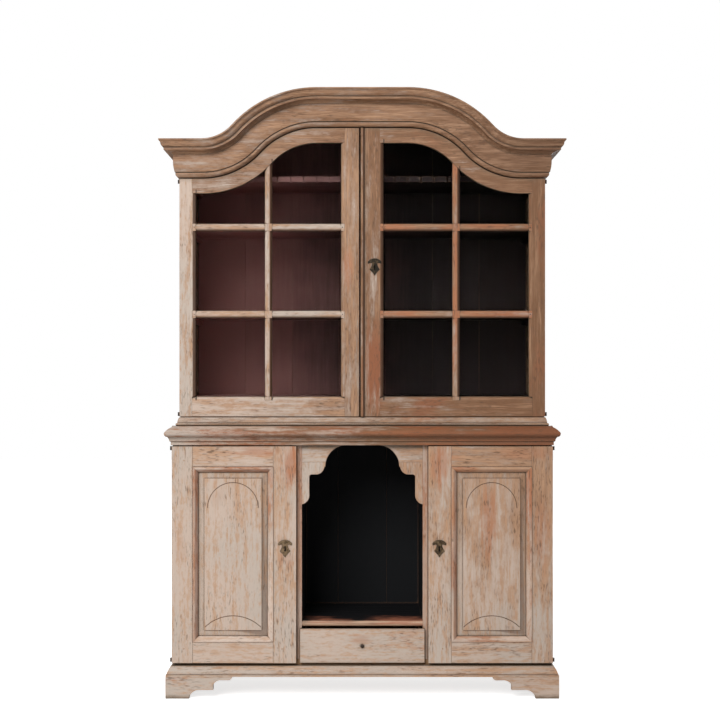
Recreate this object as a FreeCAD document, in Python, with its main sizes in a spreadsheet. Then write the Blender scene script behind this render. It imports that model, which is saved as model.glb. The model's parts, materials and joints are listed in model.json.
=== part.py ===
import FreeCAD, Part
import math
import operator
import os
import Sketcher

# A two-part pine vitrine: a lower case with two cupboards, a shaped niche and a drawer,
# and a glazed upper case with a serpentine cornice.
# Frame: +Z up, the front faces -Y, +X is the viewer's right, origin under the middle of the box.
# Every length is in millimetres.

SIZES = (
    # Overall, read off the front view and what such cabinets measure
    ("depth", 480, "cornice front to back boards"),
    ("lower_width", 1381, "lower case over its sides"),
    ("set_back", 25, "upper case inside the lower case, at the front and at each side"),
    ("case_board", 24, "thickness of sides, bottoms and top"),
    ("back_board", 14, "thickness of the back boards"),
    ("inner_board", 22, "thickness of partitions, stiles and head board"),
    ("door_thick", 24, "thickness of all four doors"),
    ("door_gap", 0.5, "running gap between a door and the case"),
    # Heights above the floor
    ("foot_height", 78, "bracket feet"),
    ("plinth_height", 36, "moulded plinth above the feet"),
    ("door_lift", 10, "lower doors above the plinth"),
    ("lower_bottom_under", 110, "underside of the lower bottom board"),
    ("lower_door_height", 786, "lower doors"),
    ("lower_door_head", 4, "gap between the lower doors and the waist"),
    ("waist_fascia", 12, "plain band of the waist moulding"),
    ("waist_bed", 3, "small step above the band"),
    ("waist_cove", 16, "hollow of the waist, up to the step under its nosing"),
    ("waist_nosing", 10, "round from that step up to the waist's edge"),
    ("waist_edge", 4, "square edge of the waist"),
    ("waist_slope", 25, "sloping top of the waist"),
    ("base_bead", 9, "bead of the upper case's base moulding"),
    ("base_round", 21, "round of the base moulding above its bead"),
    ("upper_door_foot", 3, "gap under the upper doors"),
    ("upper_rail", 72, "bottom rail of the upper doors"),
    ("floor_over_glass", 2, "upper floor above the glass's lower edge"),
    ("upper_door_end", 866, "upper doors at their hinge stiles"),
    ("curve_rise", 184, "how far the serpentine rises to the crown"),
    ("curve_flat", 86, "level ends of the curve, inside the upper sides"),
    ("curve_crown", 165, "half width of the level crown"),
    # Cornice section, from its foot up
    ("bead_height", 19, "astragal"),
    ("bead_foot", 3, "astragal's foot in front of the door"),
    ("bead_head", 11, "astragal's head in front of the door"),
    ("bead_radius", 12, "round of the astragal"),
    ("frieze_foot", 16, "foot of the frieze in front of the door"),
    ("frieze_head", 20, "head of the frieze in front of the door"),
    ("frieze_height", 62, "frieze"),
    ("frieze_radius", 160, "swelling of the frieze"),
    ("cove_height", 13, "hollow above the frieze"),
    ("cove_radius", 36, "round of that hollow"),
    ("corona_step", 4, "square band in front of the hollow under it"),
    ("corona_out", 51, "square band in front of the door"),
    ("corona_height", 10, "square band"),
    ("cyma_step", 3, "foot of the double curve in front of the square band"),
    ("cyma_height", 23, "double curve under the lip"),
    ("cyma_radius", 16, "each half of the double curve"),
    ("lip_height", 5, "top fillet"),
    ("cornice_out", 68, "lip in front of the doors and past the sides"),
    ("roof_lift", 100, "roof above the cornice foot"),
    ("roof_board", 12, "thickness of the roof boards"),
    ("head_lap", 22, "head board showing below the cornice foot"),
    # Plinth, waist and base sections
    ("plinth_out", 20, "plinth in front of the lower doors"),
    ("plinth_top_out", 2, "plinth's top edge in front of the doors"),
    ("plinth_band", 7, "square band under the plinth's round"),
    ("plinth_band_out", 17, "foot of the plinth's round"),
    ("plinth_radius", 45, "radius of the plinth's round"),
    ("waist_fascia_out", 3, "waist band in front of the lower doors"),
    ("waist_bed_out", 8, "foot of the waist's hollow"),
    ("waist_cove_out", 16, "head of the waist's hollow"),
    ("waist_cove_radius", 20, "radius of the waist's hollow"),
    ("waist_quirk", 3, "step under the nosing"),
    ("waist_out", 25, "waist's edge in front of the lower doors"),
    ("waist_radius", 14, "radius of the nosing"),
    ("waist_slope_radius", 60, "swelling of the waist's top"),
    ("base_out", 10, "base moulding in front of the upper doors"),
    ("base_bead_radius", 5, "radius of the base bead"),
    ("base_quirk", 3, "base round behind its bead"),
    ("base_lip", 1, "base moulding's top edge in front of the upper doors"),
    ("base_radius", 40, "radius of the base round"),
    # Bracket feet
    ("foot_board", 22, "thickness of the foot boards"),
    ("foot_toe", 85, "foot's width on the floor"),
    ("foot_knee", 122, "end of the foot's first hollow"),
    ("foot_step", 172, "upright step of the foot"),
    ("foot_ledge", 206, "end of the foot's second hollow"),
    ("foot_spur", 228, "start of the foot's tip"),
    ("foot_tip", 241, "end of the foot's outline"),
    ("side_foot_ledge", 186, "end of the second hollow on a side foot"),
    ("side_foot_tip", 196, "end of a side foot's outline"),
    ("foot_rise", 31, "height of the foot's first hollow"),
    ("foot_shelf", 50, "height of the foot's upright step"),
    ("foot_ledge_rise", 66, "height of the second hollow's end"),
    ("foot_radius", 36, "round of the first hollow"),
    ("ledge_radius", 34, "round of the second hollow"),
    ("tip_radius", 14, "round of the foot's tip"),
    ("foot_block", 60, "square of the blocks behind the feet"),
    # Niche
    ("niche_half", 220, "half width of the niche"),
    ("niche_stile", 45, "width of the niche stiles"),
    ("apron_rail", 84, "height of the niche's head rail"),
    ("apron_crown", 22, "wood left over the crown of the niche"),
    ("apron_arch", 79, "radius of the niche's arch"),
    ("apron_fillet", 3, "square fillet beside the arch's foot"),
    ("apron_throat", 82, "arch's fillet from the niche stiles"),
    ("apron_hollow", 26, "width of the hollow under the arch"),
    ("apron_hollow_radius", 31, "round of that hollow"),
    ("apron_step", 28, "height of the arch's foot above the brackets' ledge"),
    ("apron_turn", 9, "width and height of the round where the ledge turns down"),
    ("apron_cheek", 27, "brackets' cheeks from the niche stiles"),
    ("apron_corner_radius", 9.5, "round where the ledge turns down"),
    ("apron_ear", 62, "height of the brackets' cheeks"),
    ("apron_toe", 38, "height of the brackets' lower hollow"),
    ("apron_toe_radius", 34, "round of that lower hollow"),
    ("niche_reveal", 19.5, "niche stile showing beside a lower door"),
    ("drawer_opening", 119, "drawer opening above the lower floor"),
    ("niche_floor_board", 20, "thickness of the niche floor"),
    ("nose_radius", 11, "round of the niche floor's front edge"),
    ("nose_deep", 7, "start of that round behind the case front"),
    # Drawer
    ("drawer_lap", 6, "drawer front past the niche opening"),
    ("drawer_top_gap", 7, "dark gap over the drawer front"),
    ("drawer_front_thick", 18, "thickness of the drawer front"),
    ("drawer_side_gap", 1, "drawer beside the partitions"),
    ("drawer_slip", 0.3, "drawer above the bottom board"),
    ("drawer_head", 13, "drawer sides below the niche floor"),
    ("drawer_room", 29, "drawer short of the back boards"),
    ("drawer_wall", 12, "thickness of the drawer sides and back"),
    ("drawer_floor", 6, "thickness of the drawer bottom"),
    ("drawer_groove", 5, "depth of the drawer's grooves"),
    ("drawer_floor_lift", 8, "drawer bottom above the sides' lower edge"),
    ("pull_radius", 6, "head of the iron pull"),
    ("pull_out", 9, "how far the pull stands out"),
    ("pull_collar", 3.6, "radius of the pull's neck"),
    ("pull_shank", 2.5, "radius of the pull's shank"),
    ("pin_slip", 0.05, "radial clearance of pins and shanks"),
    # Lower doors
    ("hinge_stile", 76, "hinge stile of the lower doors"),
    ("lock_stile", 83.5, "lock stile of the lower doors"),
    ("lower_head_rail", 75, "top rail of the lower doors"),
    ("lower_foot_rail", 77, "bottom rail of the lower doors"),
    ("panel_groove", 10, "depth of the panel groove"),
    ("panel_tongue", 8, "thickness of the panel's tongue"),
    ("panel_sink", 10, "tongue behind the door's face"),
    ("panel_field_sink", 4, "raised field behind the door's face"),
    ("panel_step", 2.5, "square edge of the raised field"),
    ("panel_border", 42, "frame edge to raised field"),
    ("mould_width", 20, "width of the panel moulding"),
    ("mould_fillet", 4, "flat of the panel moulding beside the frame"),
    ("mould_proud", 2, "panel moulding in front of the frame"),
    ("mould_edge", 3, "inner edge of the panel moulding"),
    ("mould_radius", 17, "round of the panel moulding"),
    ("scribe_radius", 92, "arched line cut in the panel's head"),
    ("scribe_drop", 107, "centre of that arch below the field's top"),
    ("scribe_low_radius", 146, "flat arch cut in the panel's foot"),
    ("scribe_low_half", 44, "half angle of the flat arch, in degrees"),
    ("scribe_low_rise", 52, "top of the flat arch above the field's foot"),
    ("scribe_cut", 1.4, "radius of the cut lines"),
    # Locks
    ("lock_rise", 416, "keyholes of the lower doors above the doors' foot"),
    ("lock_reach", 40, "lower keyholes from the door's edge"),
    ("upper_lock_rise", 545, "keyhole of the upper right door above the door's foot"),
    ("upper_lock_reach", 51, "upper keyhole from the door's edge"),
    ("plate_thick", 1.6, "thickness of the lock plates"),
    ("plate_half", 25, "half width of the plate's cap"),
    ("plate_top", 30, "plate above the keyhole's middle"),
    ("plate_drop", 32, "plate below the keyhole's middle"),
    ("plate_cap", 13, "rise of the plate's cap"),
    ("plate_tip", 6, "height of the cap's ends"),
    ("plate_tip_slant", 2, "lower corner of the cap's ends, inside the tip"),
    ("plate_under_radius", 13, "round of the cap's underside"),
    ("plate_neck", 9, "half width of the plate's neck"),
    ("plate_neck_drop", 17, "plate's neck below its top"),
    ("plate_body", 18.5, "half width of the plate's shield"),
    ("plate_body_drop", 40, "shield's corners below the plate's top"),
    ("plate_cheek_radius", 36, "hollow from the neck to the shield's corners"),
    ("plate_skirt_radius", 70, "hollow from the shield's corners to the foot"),
    ("key_radius", 3.5, "round of the keyhole"),
    ("key_slot", 4, "width of the keyhole's slot"),
    ("key_length", 15, "height of the keyhole's slot"),
    ("lock_width", 48, "lower lock cases along the door"),
    ("upper_lock_width", 68, "upper lock case along the door"),
    ("lock_tall", 70, "height of the lock case"),
    ("lock_deep", 15, "depth of the lock case"),
    ("lock_clear", 2, "lock case beside the niche stile"),
    ("lock_wall", 3, "lock case's wall at the bolt"),
    ("bolt_tall", 16, "height of a lock bolt"),
    ("bolt_thick", 7, "thickness of a lock bolt"),
    ("bolt_long", 34, "length of a lock bolt"),
    ("bolt_throw", 12, "travel of a bolt"),
    ("bolt_slip", 0.3, "clearance round a lock bolt"),
    ("keeper_slip", 1.5, "clearance round a bolt in its keeper"),
    # Upper doors
    ("door_meet", 9, "the doors meet this far left of the middle"),
    ("door_split", 6, "gap between the upper doors"),
    ("arch_gap", 3.5, "gap between the upper doors and the cornice"),
    ("upper_hinge_stile", 59, "hinge stiles of the upper doors, with their moulded edge"),
    ("glass_inner", 77, "half width to the glass's inner edge"),
    ("arch_rail", 57, "cornice foot to the glass's upper edge"),
    ("edge_mould", 13, "width of the moulded inner edges"),
    ("edge_depth", 9, "depth of the moulded inner edges"),
    ("edge_radius", 14, "round of the moulded inner edges"),
    ("glass_seat", 13, "glass behind the door's face"),
    ("glass_rebate", 8, "width of the glazing rebate"),
    ("glass_slip", 2, "glass short of the rebate"),
    ("glass_thick", 3, "thickness of the glass"),
    ("bar_width", 26.6, "glazing bars"),
    ("bar_flat", 8, "flat and web of a glazing bar"),
    ("bar_sink", 1.5, "bars behind the door's face"),
    ("block_sink", 0.7, "square blocks behind the door's face"),
    ("bar_radius", 13, "round of a glazing bar"),
    ("low_pane", 286.5, "glass showing under the lower cross bar"),
    ("mid_pane", 290.5, "glass showing between the cross bars"),
    ("astragal_width", 14, "strip on the right meeting stile"),
    ("astragal_edge", 2, "square edge of the strip"),
    ("astragal_radius", 7.5, "round of the strip"),
    # Slide bolt of the left upper door
    ("slide_radius", 4, "radius of the slide bolt"),
    ("slide_long", 92, "length of the slide bolt"),
    ("slide_rest", 1.5, "withdrawn slide bolt above the floor"),
    ("slide_slip", 0.75, "clearance round the slide bolt in the floor"),
    ("slide_inset", 34, "slide bolt from the door's edge"),
    ("slide_back", 10, "slide bolt behind the door"),
    ("guide_plate", 2, "thickness of the bolt's back plate"),
    ("guide_half", 12, "half width of the bolt's guides"),
    ("guide_tall", 10, "height of a guide"),
    ("guide_gap", 30, "distance between the guides"),
    ("guide_lift", 20, "lower guide above the floor"),
    ("thumb_radius", 3, "radius of the slide bolt's thumb pin"),
    ("thumb_long", 14, "length of the thumb pin"),
    # Shelves
    ("shelf_board", 20, "thickness of the shelves"),
    ("shelf_front", 47, "shelf fronts behind the upper case's front"),
    ("shelf_low_lift", 13, "lower glazed shelf's top above its cross bar's middle"),
    ("shelf_mid_lift", 17, "upper glazed shelf's top above its cross bar's middle"),
    ("shelf_top_lift", 14, "notched shelf's top above the cornice foot at the ends"),
    ("notch_pitch", 48, "spacing of the spoon notches"),
    ("notch_width", 6, "width of a spoon notch"),
    ("notch_deep", 22, "depth of a spoon notch"),
    ("notch_run", 330, "half width of the notched stretch"),
    ("cupboard_shelf", 336, "top of the cupboard shelves above the lower floor"),
    ("cupboard_front", 70, "cupboard shelves behind the case front"),
    ("batten_width", 16, "width of the shelf battens"),
    ("batten_tall", 20, "height of the shelf battens"),
    # Hinges
    ("hinge_out", 5, "hinge axis outside the door's edge"),
    ("knuckle_radius", 4.2, "radius of the hinge knuckles"),
    ("knuckle_tall", 7, "height of a knuckle"),
    ("knuckle_slip", 0.3, "gap between two knuckles"),
    ("hinge_pin", 2.5, "radius of the hinge pins"),
    ("hinge_inset", 1, "hinges from the doors' ends"),
    ("leaf_thick", 2, "thickness of the hinge leaves"),
    ("leaf_long", 32, "case leaf along the side"),
    ("leaf_door", 20, "door leaf along the door's edge"),
)

LOWER_BOARDS = 7
UPPER_BOARDS = 7
MITRE_WASTE = 2  # a mitre cut reaches this many times past the moulding

doc = FreeCAD.newDocument("vitrine")
sheet = doc.addObject("Spreadsheet::Sheet", "Sizes")
nodes = {}


class Size:
    """A length that holds its number and the expression that gives it."""

    def __init__(self, number, text):
        self.number = number
        self.text = text

    def __add__(self, other):
        return joined(self, "+", other)

    def __radd__(self, other):
        return joined(other, "+", self)

    def __sub__(self, other):
        return joined(self, "-", other)

    def __rsub__(self, other):
        return joined(other, "-", self)

    def __mul__(self, other):
        return joined(self, "*", other)

    def __rmul__(self, other):
        return joined(other, "*", self)

    def __truediv__(self, other):
        return joined(self, "/", other)

    def __neg__(self):
        return joined(0, "-", self)


def as_size(value):
    """A plain number as a Size."""
    if isinstance(value, Size):
        return value
    return Size(float(value), "({:g})".format(value))


def joined(left, sign, right):
    """Two sizes joined by + - * or /."""
    left, right = as_size(left), as_size(right)
    work = {"+": operator.add, "-": operator.sub, "*": operator.mul, "/": operator.truediv}[sign]
    return Size(work(left.number, right.number), "({} {} {})".format(left.text, sign, right.text))


def read_sizes():
    """Fill the sheet and return its cells as Sizes by name."""
    found = {}
    for row, (name, number, meaning) in enumerate(SIZES, start=1):
        sheet.set("A{}".format(row), name)
        sheet.set("B{}".format(row), "{:g}".format(number))
        sheet.setAlias("B{}".format(row), name)
        sheet.set("C{}".format(row), meaning)
        found[name] = Size(float(number), "Sizes.{}".format(name))
    doc.recompute()
    return found


size = read_sizes()


def bind(item, prop, value):
    """Tie a property to the sheet."""
    item.setExpression(prop, as_size(value).text)


def ordered(span):
    """A range with its lower end first."""
    return sorted((as_size(end) for end in span), key=lambda end: end.number)


def board(name, x, y, z):
    """A box between three ranges."""
    item = doc.addObject("Part::Box", name)
    for span, length, axis in zip((x, y, z), ("Length", "Width", "Height"), "xyz"):
        low, high = ordered(span)
        bind(item, length, high - low)
        bind(item, "Placement.Base." + axis, low)
    return item


def rod(name, radius, base, length, axis="Z"):
    """A cylinder that starts at base and runs along +Z, +X or +Y."""
    item = doc.addObject("Part::Cylinder", name)
    turns = {
        "Z": FreeCAD.Rotation(),
        "X": FreeCAD.Rotation(FreeCAD.Vector(0, 1, 0), 90),
        "Y": FreeCAD.Rotation(FreeCAD.Vector(1, 0, 0), -90),
    }
    item.Placement = FreeCAD.Placement(FreeCAD.Vector(), turns[axis])
    bind(item, "Radius", radius)
    bind(item, "Height", length)
    for letter, value in zip("xyz", base):
        bind(item, "Placement.Base." + letter, value)
    return item


def origin_plane(body, role):
    """One of a body's own origin planes."""
    return next(item for item in body.Origin.OriginFeatures if item.Role == role)


def arc_between(start, end, radius, turn):
    """The short arc from start to end, to the left for turn 1 and to the right for turn -1."""
    chord = end - start
    middle = start + chord * 0.5
    rise = math.sqrt(max(radius ** 2 - (chord.Length / 2) ** 2, 0))
    normal = FreeCAD.Vector(-chord.y, chord.x, 0).normalize()
    centre = middle + normal * rise * turn
    first, last = (start, end) if turn > 0 else (end, start)
    angles = [math.atan2(point.y - centre.y, point.x - centre.x) for point in (first, last)]
    circle = Part.Circle(centre, FreeCAD.Vector(0, 0, 1), radius)
    return Part.ArcOfCircle(circle, angles[0], angles[1])


def tie(sketch, label, value, kind, *places):
    """A named dimension of a sketch, bound to the sheet."""
    value = as_size(value)
    index = sketch.addConstraint(Sketcher.Constraint(kind, *places, value.number))
    sketch.renameConstraint(index, label)
    sketch.setExpression("Constraints." + label, value.text)


def draw(sketch, corners, rounds, closed, tag):
    """Draw corners joined by lines, or by arcs where rounds gives (radius, turn)."""
    points = [FreeCAD.Vector(as_size(x).number, as_size(y).number, 0) for x, y in corners]
    count = len(points) if closed else len(points) - 1
    edges = []
    for index in range(count):
        start, end = points[index], points[(index + 1) % len(points)]
        if index in rounds:
            radius, turn = rounds[index]
            shape = arc_between(start, end, as_size(radius).number, turn)
            ends = (1, 2) if turn > 0 else (2, 1)
        else:
            shape = Part.LineSegment(start, end)
            ends = (1, 2)
        edges.append((sketch.addGeometry(shape, False), ends))
    for index in range(count if closed else count - 1):
        edge, ends = edges[index]
        following, next_ends = edges[(index + 1) % count]
        sketch.addConstraint(Sketcher.Constraint("Coincident", edge, ends[1], following, next_ends[0]))
    for index, (x, y) in enumerate(corners):
        edge, ends = edges[min(index, count - 1)]
        end = ends[0] if index < count else ends[1]
        for kind, value in (("DistanceX", x), ("DistanceY", y)):
            label = "{}_{}{}".format(tag, kind[-1].lower(), index)
            tie(sketch, label, value, kind, -1, 1, edge, end)
    for index, (radius, turn) in rounds.items():
        tie(sketch, "{}_radius{}".format(tag, index), radius, "Radius", edges[index][0])


def sketch_on(body, role, loops, name="Profile", closed=True):
    """A sketch on an origin plane, with one or more (corners, rounds) loops."""
    sketch = body.newObject("Sketcher::SketchObject", name)
    sketch.AttachmentSupport = [(origin_plane(body, role), "")]
    sketch.MapMode = "FlatFace"
    for number, (corners, rounds) in enumerate(loops):
        draw(sketch, corners, rounds, closed, "loop{}".format(number))
    return sketch


def padded(name, role, corners, rounds, length, shift=(0, 0, 0)):
    """A body made by padding one outline from an origin plane."""
    body = doc.addObject("PartDesign::Body", name)
    pad = body.newObject("PartDesign::Pad", "Pad")
    pad.Profile = sketch_on(body, role, [(corners, rounds)])
    bind(pad, "Length", length)
    for letter, value in zip("xyz", shift):
        bind(body, "Placement.Base." + letter, value)
    return body


def front_plate(name, corners, rounds, back, thick):
    """A board with a front outline (x, z), from its back face forwards."""
    return padded(name, "XZ_Plane", corners, rounds, thick, (0, back, 0))


def moulding_x(name, section, rounds, start, end):
    """A moulding with section (y, z), run along X."""
    return padded(name, "YZ_Plane", section, rounds, end - start, (start, 0, 0))


def moulding_y(name, section, rounds, start, end):
    """A moulding with section (x, z), run along Y from its back end forwards."""
    return padded(name, "XZ_Plane", section, rounds, end - start, (0, end, 0))


def moulding_z(name, section, rounds, start, end):
    """A moulding with section (x, y), run along Z."""
    return padded(name, "XY_Plane", section, rounds, end - start, (0, 0, start))


def trim(body, role, loops):
    """Cut outlines right through a body, and check that wood is removed."""
    doc.recompute()
    before = body.Shape.Volume
    pocket = body.newObject("PartDesign::Pocket", "Trim")
    pocket.Profile = sketch_on(body, role, loops, "TrimProfile")
    pocket.Type = "ThroughAll"
    pocket.Midplane = True
    doc.recompute()
    if not body.Shape.Volume < before:
        raise RuntimeError("nothing was trimmed from " + body.Label)
    return body


def group(name, items):
    """Several separate solids as one object."""
    item = doc.addObject("Part::Compound", name)
    item.Links = items
    return item


def fuse(name, items):
    """Several solids as one piece."""
    item = doc.addObject("Part::MultiFuse", name)
    item.Shapes = items
    item.Refine = True
    return item


def cut(name, base, tools):
    """One piece with tools taken out of it."""
    item = doc.addObject("Part::Cut", name)
    item.Base = base
    item.Tool = tools[0] if len(tools) == 1 else group(name + "_tools", tools)
    return item


def mirrored(name, source):
    """The same piece on the other side of the middle."""
    item = doc.addObject("Part::Mirroring", name)
    item.Source = source
    item.Normal = FreeCAD.Vector(1, 0, 0)
    return item


def both_sides(name, make):
    """Both hands of a piece that make(side) builds for side -1 and 1."""
    return group(name, [make(side) for side in (-1, 1)])


def node(label, item):
    """Name a finished sub-part."""
    item.Label = label
    nodes[label] = item
    return item


def sine(angle):
    """Sine of an angle in degrees."""
    return Size(math.sin(math.radians(angle.number)), "sin({})".format(angle.text))


def cosine(angle):
    """Cosine of an angle in degrees."""
    return Size(math.cos(math.radians(angle.number)), "cos({})".format(angle.text))


def twice_arctan(ratio):
    """Twice the angle, in degrees, whose tangent is ratio."""
    return Size(2 * math.degrees(math.atan(ratio.number)), "(2 * atan({}))".format(ratio.text))


# Planes, front to back
back = size["depth"] / 2
upper_face = size["cornice_out"] - back
upper_front = upper_face + size["door_thick"] + size["door_gap"]
lower_face = upper_face - size["set_back"]
lower_front = lower_face + size["door_thick"] + size["door_gap"]
back_inside = back - size["back_board"]
lower_half = size["lower_width"] / 2
upper_half = lower_half - size["set_back"]
upper_inside = upper_half - size["case_board"]
lower_inside = lower_half - size["case_board"]

# Levels, floor to crown
plinth_top = size["foot_height"] + size["plinth_height"]
lower_door_foot = plinth_top + size["door_lift"]
lower_door_top = lower_door_foot + size["lower_door_height"]
lower_floor = size["lower_bottom_under"] + size["case_board"]
waist_foot = lower_door_top + size["lower_door_head"]
waist_band = waist_foot + size["waist_fascia"]
waist_quirk = waist_band + size["waist_bed"] + size["waist_cove"]
waist_nose = waist_quirk + size["waist_nosing"]
waist_tip = waist_nose + size["waist_edge"]
waist_top = waist_tip + size["waist_slope"]
lower_head = waist_tip - size["case_board"]
base_bead = waist_top + size["base_bead"]
base_top = base_bead + size["base_round"]
upper_door_foot = base_top + size["upper_door_foot"]
glass_foot = upper_door_foot + size["upper_rail"]
upper_floor = glass_foot + size["floor_over_glass"]
upper_floor_under = upper_floor - size["case_board"]
curve_end = upper_door_foot + size["upper_door_end"] + size["arch_gap"]
crown = curve_end + size["curve_rise"]
lock_height = lower_door_foot + size["lock_rise"]
upper_lock_height = upper_door_foot + size["upper_lock_rise"]
bar_low = glass_foot + size["low_pane"] + size["bar_width"] / 2
bar_high = bar_low + size["mid_pane"] + size["bar_width"]
niche_floor_under = lower_floor + size["drawer_opening"]
drawer_front_top = niche_floor_under - size["drawer_top_gap"]

# Half widths
curve_flat = upper_half - size["curve_flat"]
lower_door_inner = size["niche_half"] + size["niche_reveal"]
glass_outer = upper_half - size["upper_hinge_stile"]
bar_upright = (size["glass_inner"] + glass_outer) / 2

# The serpentine: two equal arcs, tangent to the level ends and crown and to each other
curve_run = curve_flat - size["curve_crown"]
curve_angle = twice_arctan(size["curve_rise"] / curve_run)
curve_radius = curve_run / (2 * sine(curve_angle))


def serpentine(offset, outer, inner, side):
    """Half the curve, moved square to itself, from the outer end to the crown."""
    low = curve_radius - offset
    high = curve_radius + offset
    turn_x = curve_flat - low * sine(curve_angle)
    turn_z = curve_end + curve_radius - low * cosine(curve_angle)
    corners = [
        (side * outer, curve_end + offset),
        (side * curve_flat, curve_end + offset),
        (side * turn_x, turn_z),
        (side * size["curve_crown"], crown + offset),
        (side * inner, crown + offset),
    ]
    rounds = {1: (low, -side), 2: (high, side)}
    return corners, rounds


def reverse(corners, rounds):
    """The same open outline, drawn the other way."""
    last = len(corners) - 2
    turned = {last - index: (radius, -turn) for index, (radius, turn) in rounds.items()}
    return corners[::-1], turned


def chain(*runs):
    """Several open outlines joined into one loop."""
    corners, rounds = [], {}
    for points, arcs in runs:
        rounds.update({index + len(corners): arc for index, arc in arcs.items()})
        corners.extend(points)
    return corners, rounds


def whole_curve(offset, outer):
    """The whole curve from left to right."""
    left, left_rounds = serpentine(offset, outer, 0, -1)
    right, right_rounds = reverse(*serpentine(offset, outer, 0, 1))
    return chain((left[:-1], left_rounds), (right[1:], {i - 1: arc for i, arc in right_rounds.items()}))


def curved_board(name, top, foot, outer, rear, thick):
    """A board across the case between two runs of the curve, or down to a level foot."""
    upper = whole_curve(top, outer)
    lower = reverse(*whole_curve(foot[1], outer)) if foot[0] == "curve" else (
        [(outer, foot[1]), (-outer, foot[1])], {})
    corners, rounds = chain(upper, lower)
    return front_plate(name, corners, rounds, rear, thick)


def plan_mitre(half, face, out, side):
    """The waste at a front moulding's end: square to the case side, then at 45 degrees outside it."""
    reach = out * MITRE_WASTE
    corners = [
        (side * half, face + size["depth"]),
        (side * half, face),
        (side * (half + reach), face - reach),
        (side * (half + reach + out), face - reach),
        (side * (half + reach + out), face + size["depth"]),
    ]
    return corners, {}


def return_mitre(half, face, out, inside):
    """The waste at the front end of a return along the right side, from its back end."""
    reach = out * MITRE_WASTE
    tip = face - reach - back
    corners = [(half + reach, tip), (half, face - back)]
    if inside.number:
        stop = face + inside - back
        corners += [(half, stop), (half - reach, stop), (half - reach, tip)]
    else:
        corners.append((half, tip))
    return corners, {}


def run_round(name, section, rounds, back_out, half, face, out, inside=0):
    """A moulding across the front with mitred returns along both sides.

    What a return has inside the case line stops behind the front moulding.
    """
    length = half + out
    front_section = [(face - u, z) for u, z in section(back_out)]
    front = moulding_x(name + "_front", front_section, rounds, -length, length)
    ends = []
    for side in (-1, 1):
        corners, rounds_none = plan_mitre(half, face, out, side)
        ends.append(([(x + length, y) for x, y in corners], rounds_none))
    trim(front, "XY_Plane", ends)
    side_section = [(half + u, z) for u, z in section(as_size(0))]
    turned = {index: (radius, -turn) for index, (radius, turn) in rounds.items()}
    side_run = moulding_y(name + "_return", side_section, turned, face - out, back)
    trim(side_run, "XY_Plane", [return_mitre(half, face, out, as_size(inside))])
    return front, side_run, mirrored(name + "_other_return", side_run)


def plinth_section(back_out):
    """Plinth: square band and round, as (out, height)."""
    return [
        (-back_out, size["foot_height"]),
        (size["plinth_out"], size["foot_height"]),
        (size["plinth_out"], size["foot_height"] + size["plinth_band"]),
        (size["plinth_band_out"], size["foot_height"] + size["plinth_band"]),
        (size["plinth_top_out"], plinth_top),
        (-back_out, plinth_top),
    ]


def waist_section(back_out):
    """Waist: band, hollow, nosing over a step, and swelled slope up to the base moulding."""
    inner = size["base_out"] - size["set_back"]
    return [
        (-back_out, waist_foot),
        (size["waist_fascia_out"], waist_foot),
        (size["waist_fascia_out"], waist_band),
        (size["waist_bed_out"], waist_band + size["waist_bed"]),
        (size["waist_cove_out"], waist_quirk),
        (size["waist_cove_out"] + size["waist_quirk"], waist_quirk),
        (size["waist_out"], waist_nose),
        (size["waist_out"], waist_tip),
        (inner, waist_top),
        (inner, waist_tip),
        (-back_out, waist_tip),
    ]


def base_section(back_out):
    """Base of the upper case: upright below, then a bead and a round."""
    return [
        (-back_out, waist_tip),
        (size["base_out"], waist_tip),
        (size["base_out"], waist_top),
        (size["base_out"], base_bead),
        (size["base_out"] - size["base_quirk"], base_bead),
        (size["base_lip"], base_top),
        (-back_out, base_top),
    ]


def cornice_section(back_out, foot):
    """Cornice: astragal, swelled frieze, hollow, square band, double curve and lip."""
    frieze = foot + size["bead_height"]
    cove = frieze + size["frieze_height"]
    corona = cove + size["cove_height"]
    cyma = corona + size["corona_height"]
    lip = cyma + size["cyma_height"]
    cyma_foot = size["corona_out"] + size["cyma_step"]
    return [
        (-back_out, foot),
        (size["bead_foot"], foot),
        (size["bead_head"], frieze),
        (size["frieze_foot"], frieze),
        (size["frieze_head"], cove),
        (size["corona_out"] - size["corona_step"], corona),
        (size["corona_out"], corona),
        (size["corona_out"], cyma),
        (cyma_foot, cyma),
        ((cyma_foot + size["cornice_out"]) / 2, (cyma + lip) / 2),
        (size["cornice_out"], lip),
        (size["cornice_out"], lip + size["lip_height"]),
        (-back_out, lip + size["lip_height"]),
    ]


CORNICE_TURNS = {1: ("bead_radius", -1), 3: ("frieze_radius", -1), 4: ("cove_radius", 1),
                 8: ("cyma_radius", -1), 9: ("cyma_radius", 1)}


def cornice_rounds(hand):
    """The cornice's round edges, for a section drawn to the left (-1) or right (1)."""
    return {index: (size[name], turn * hand) for index, (name, turn) in CORNICE_TURNS.items()}


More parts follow.
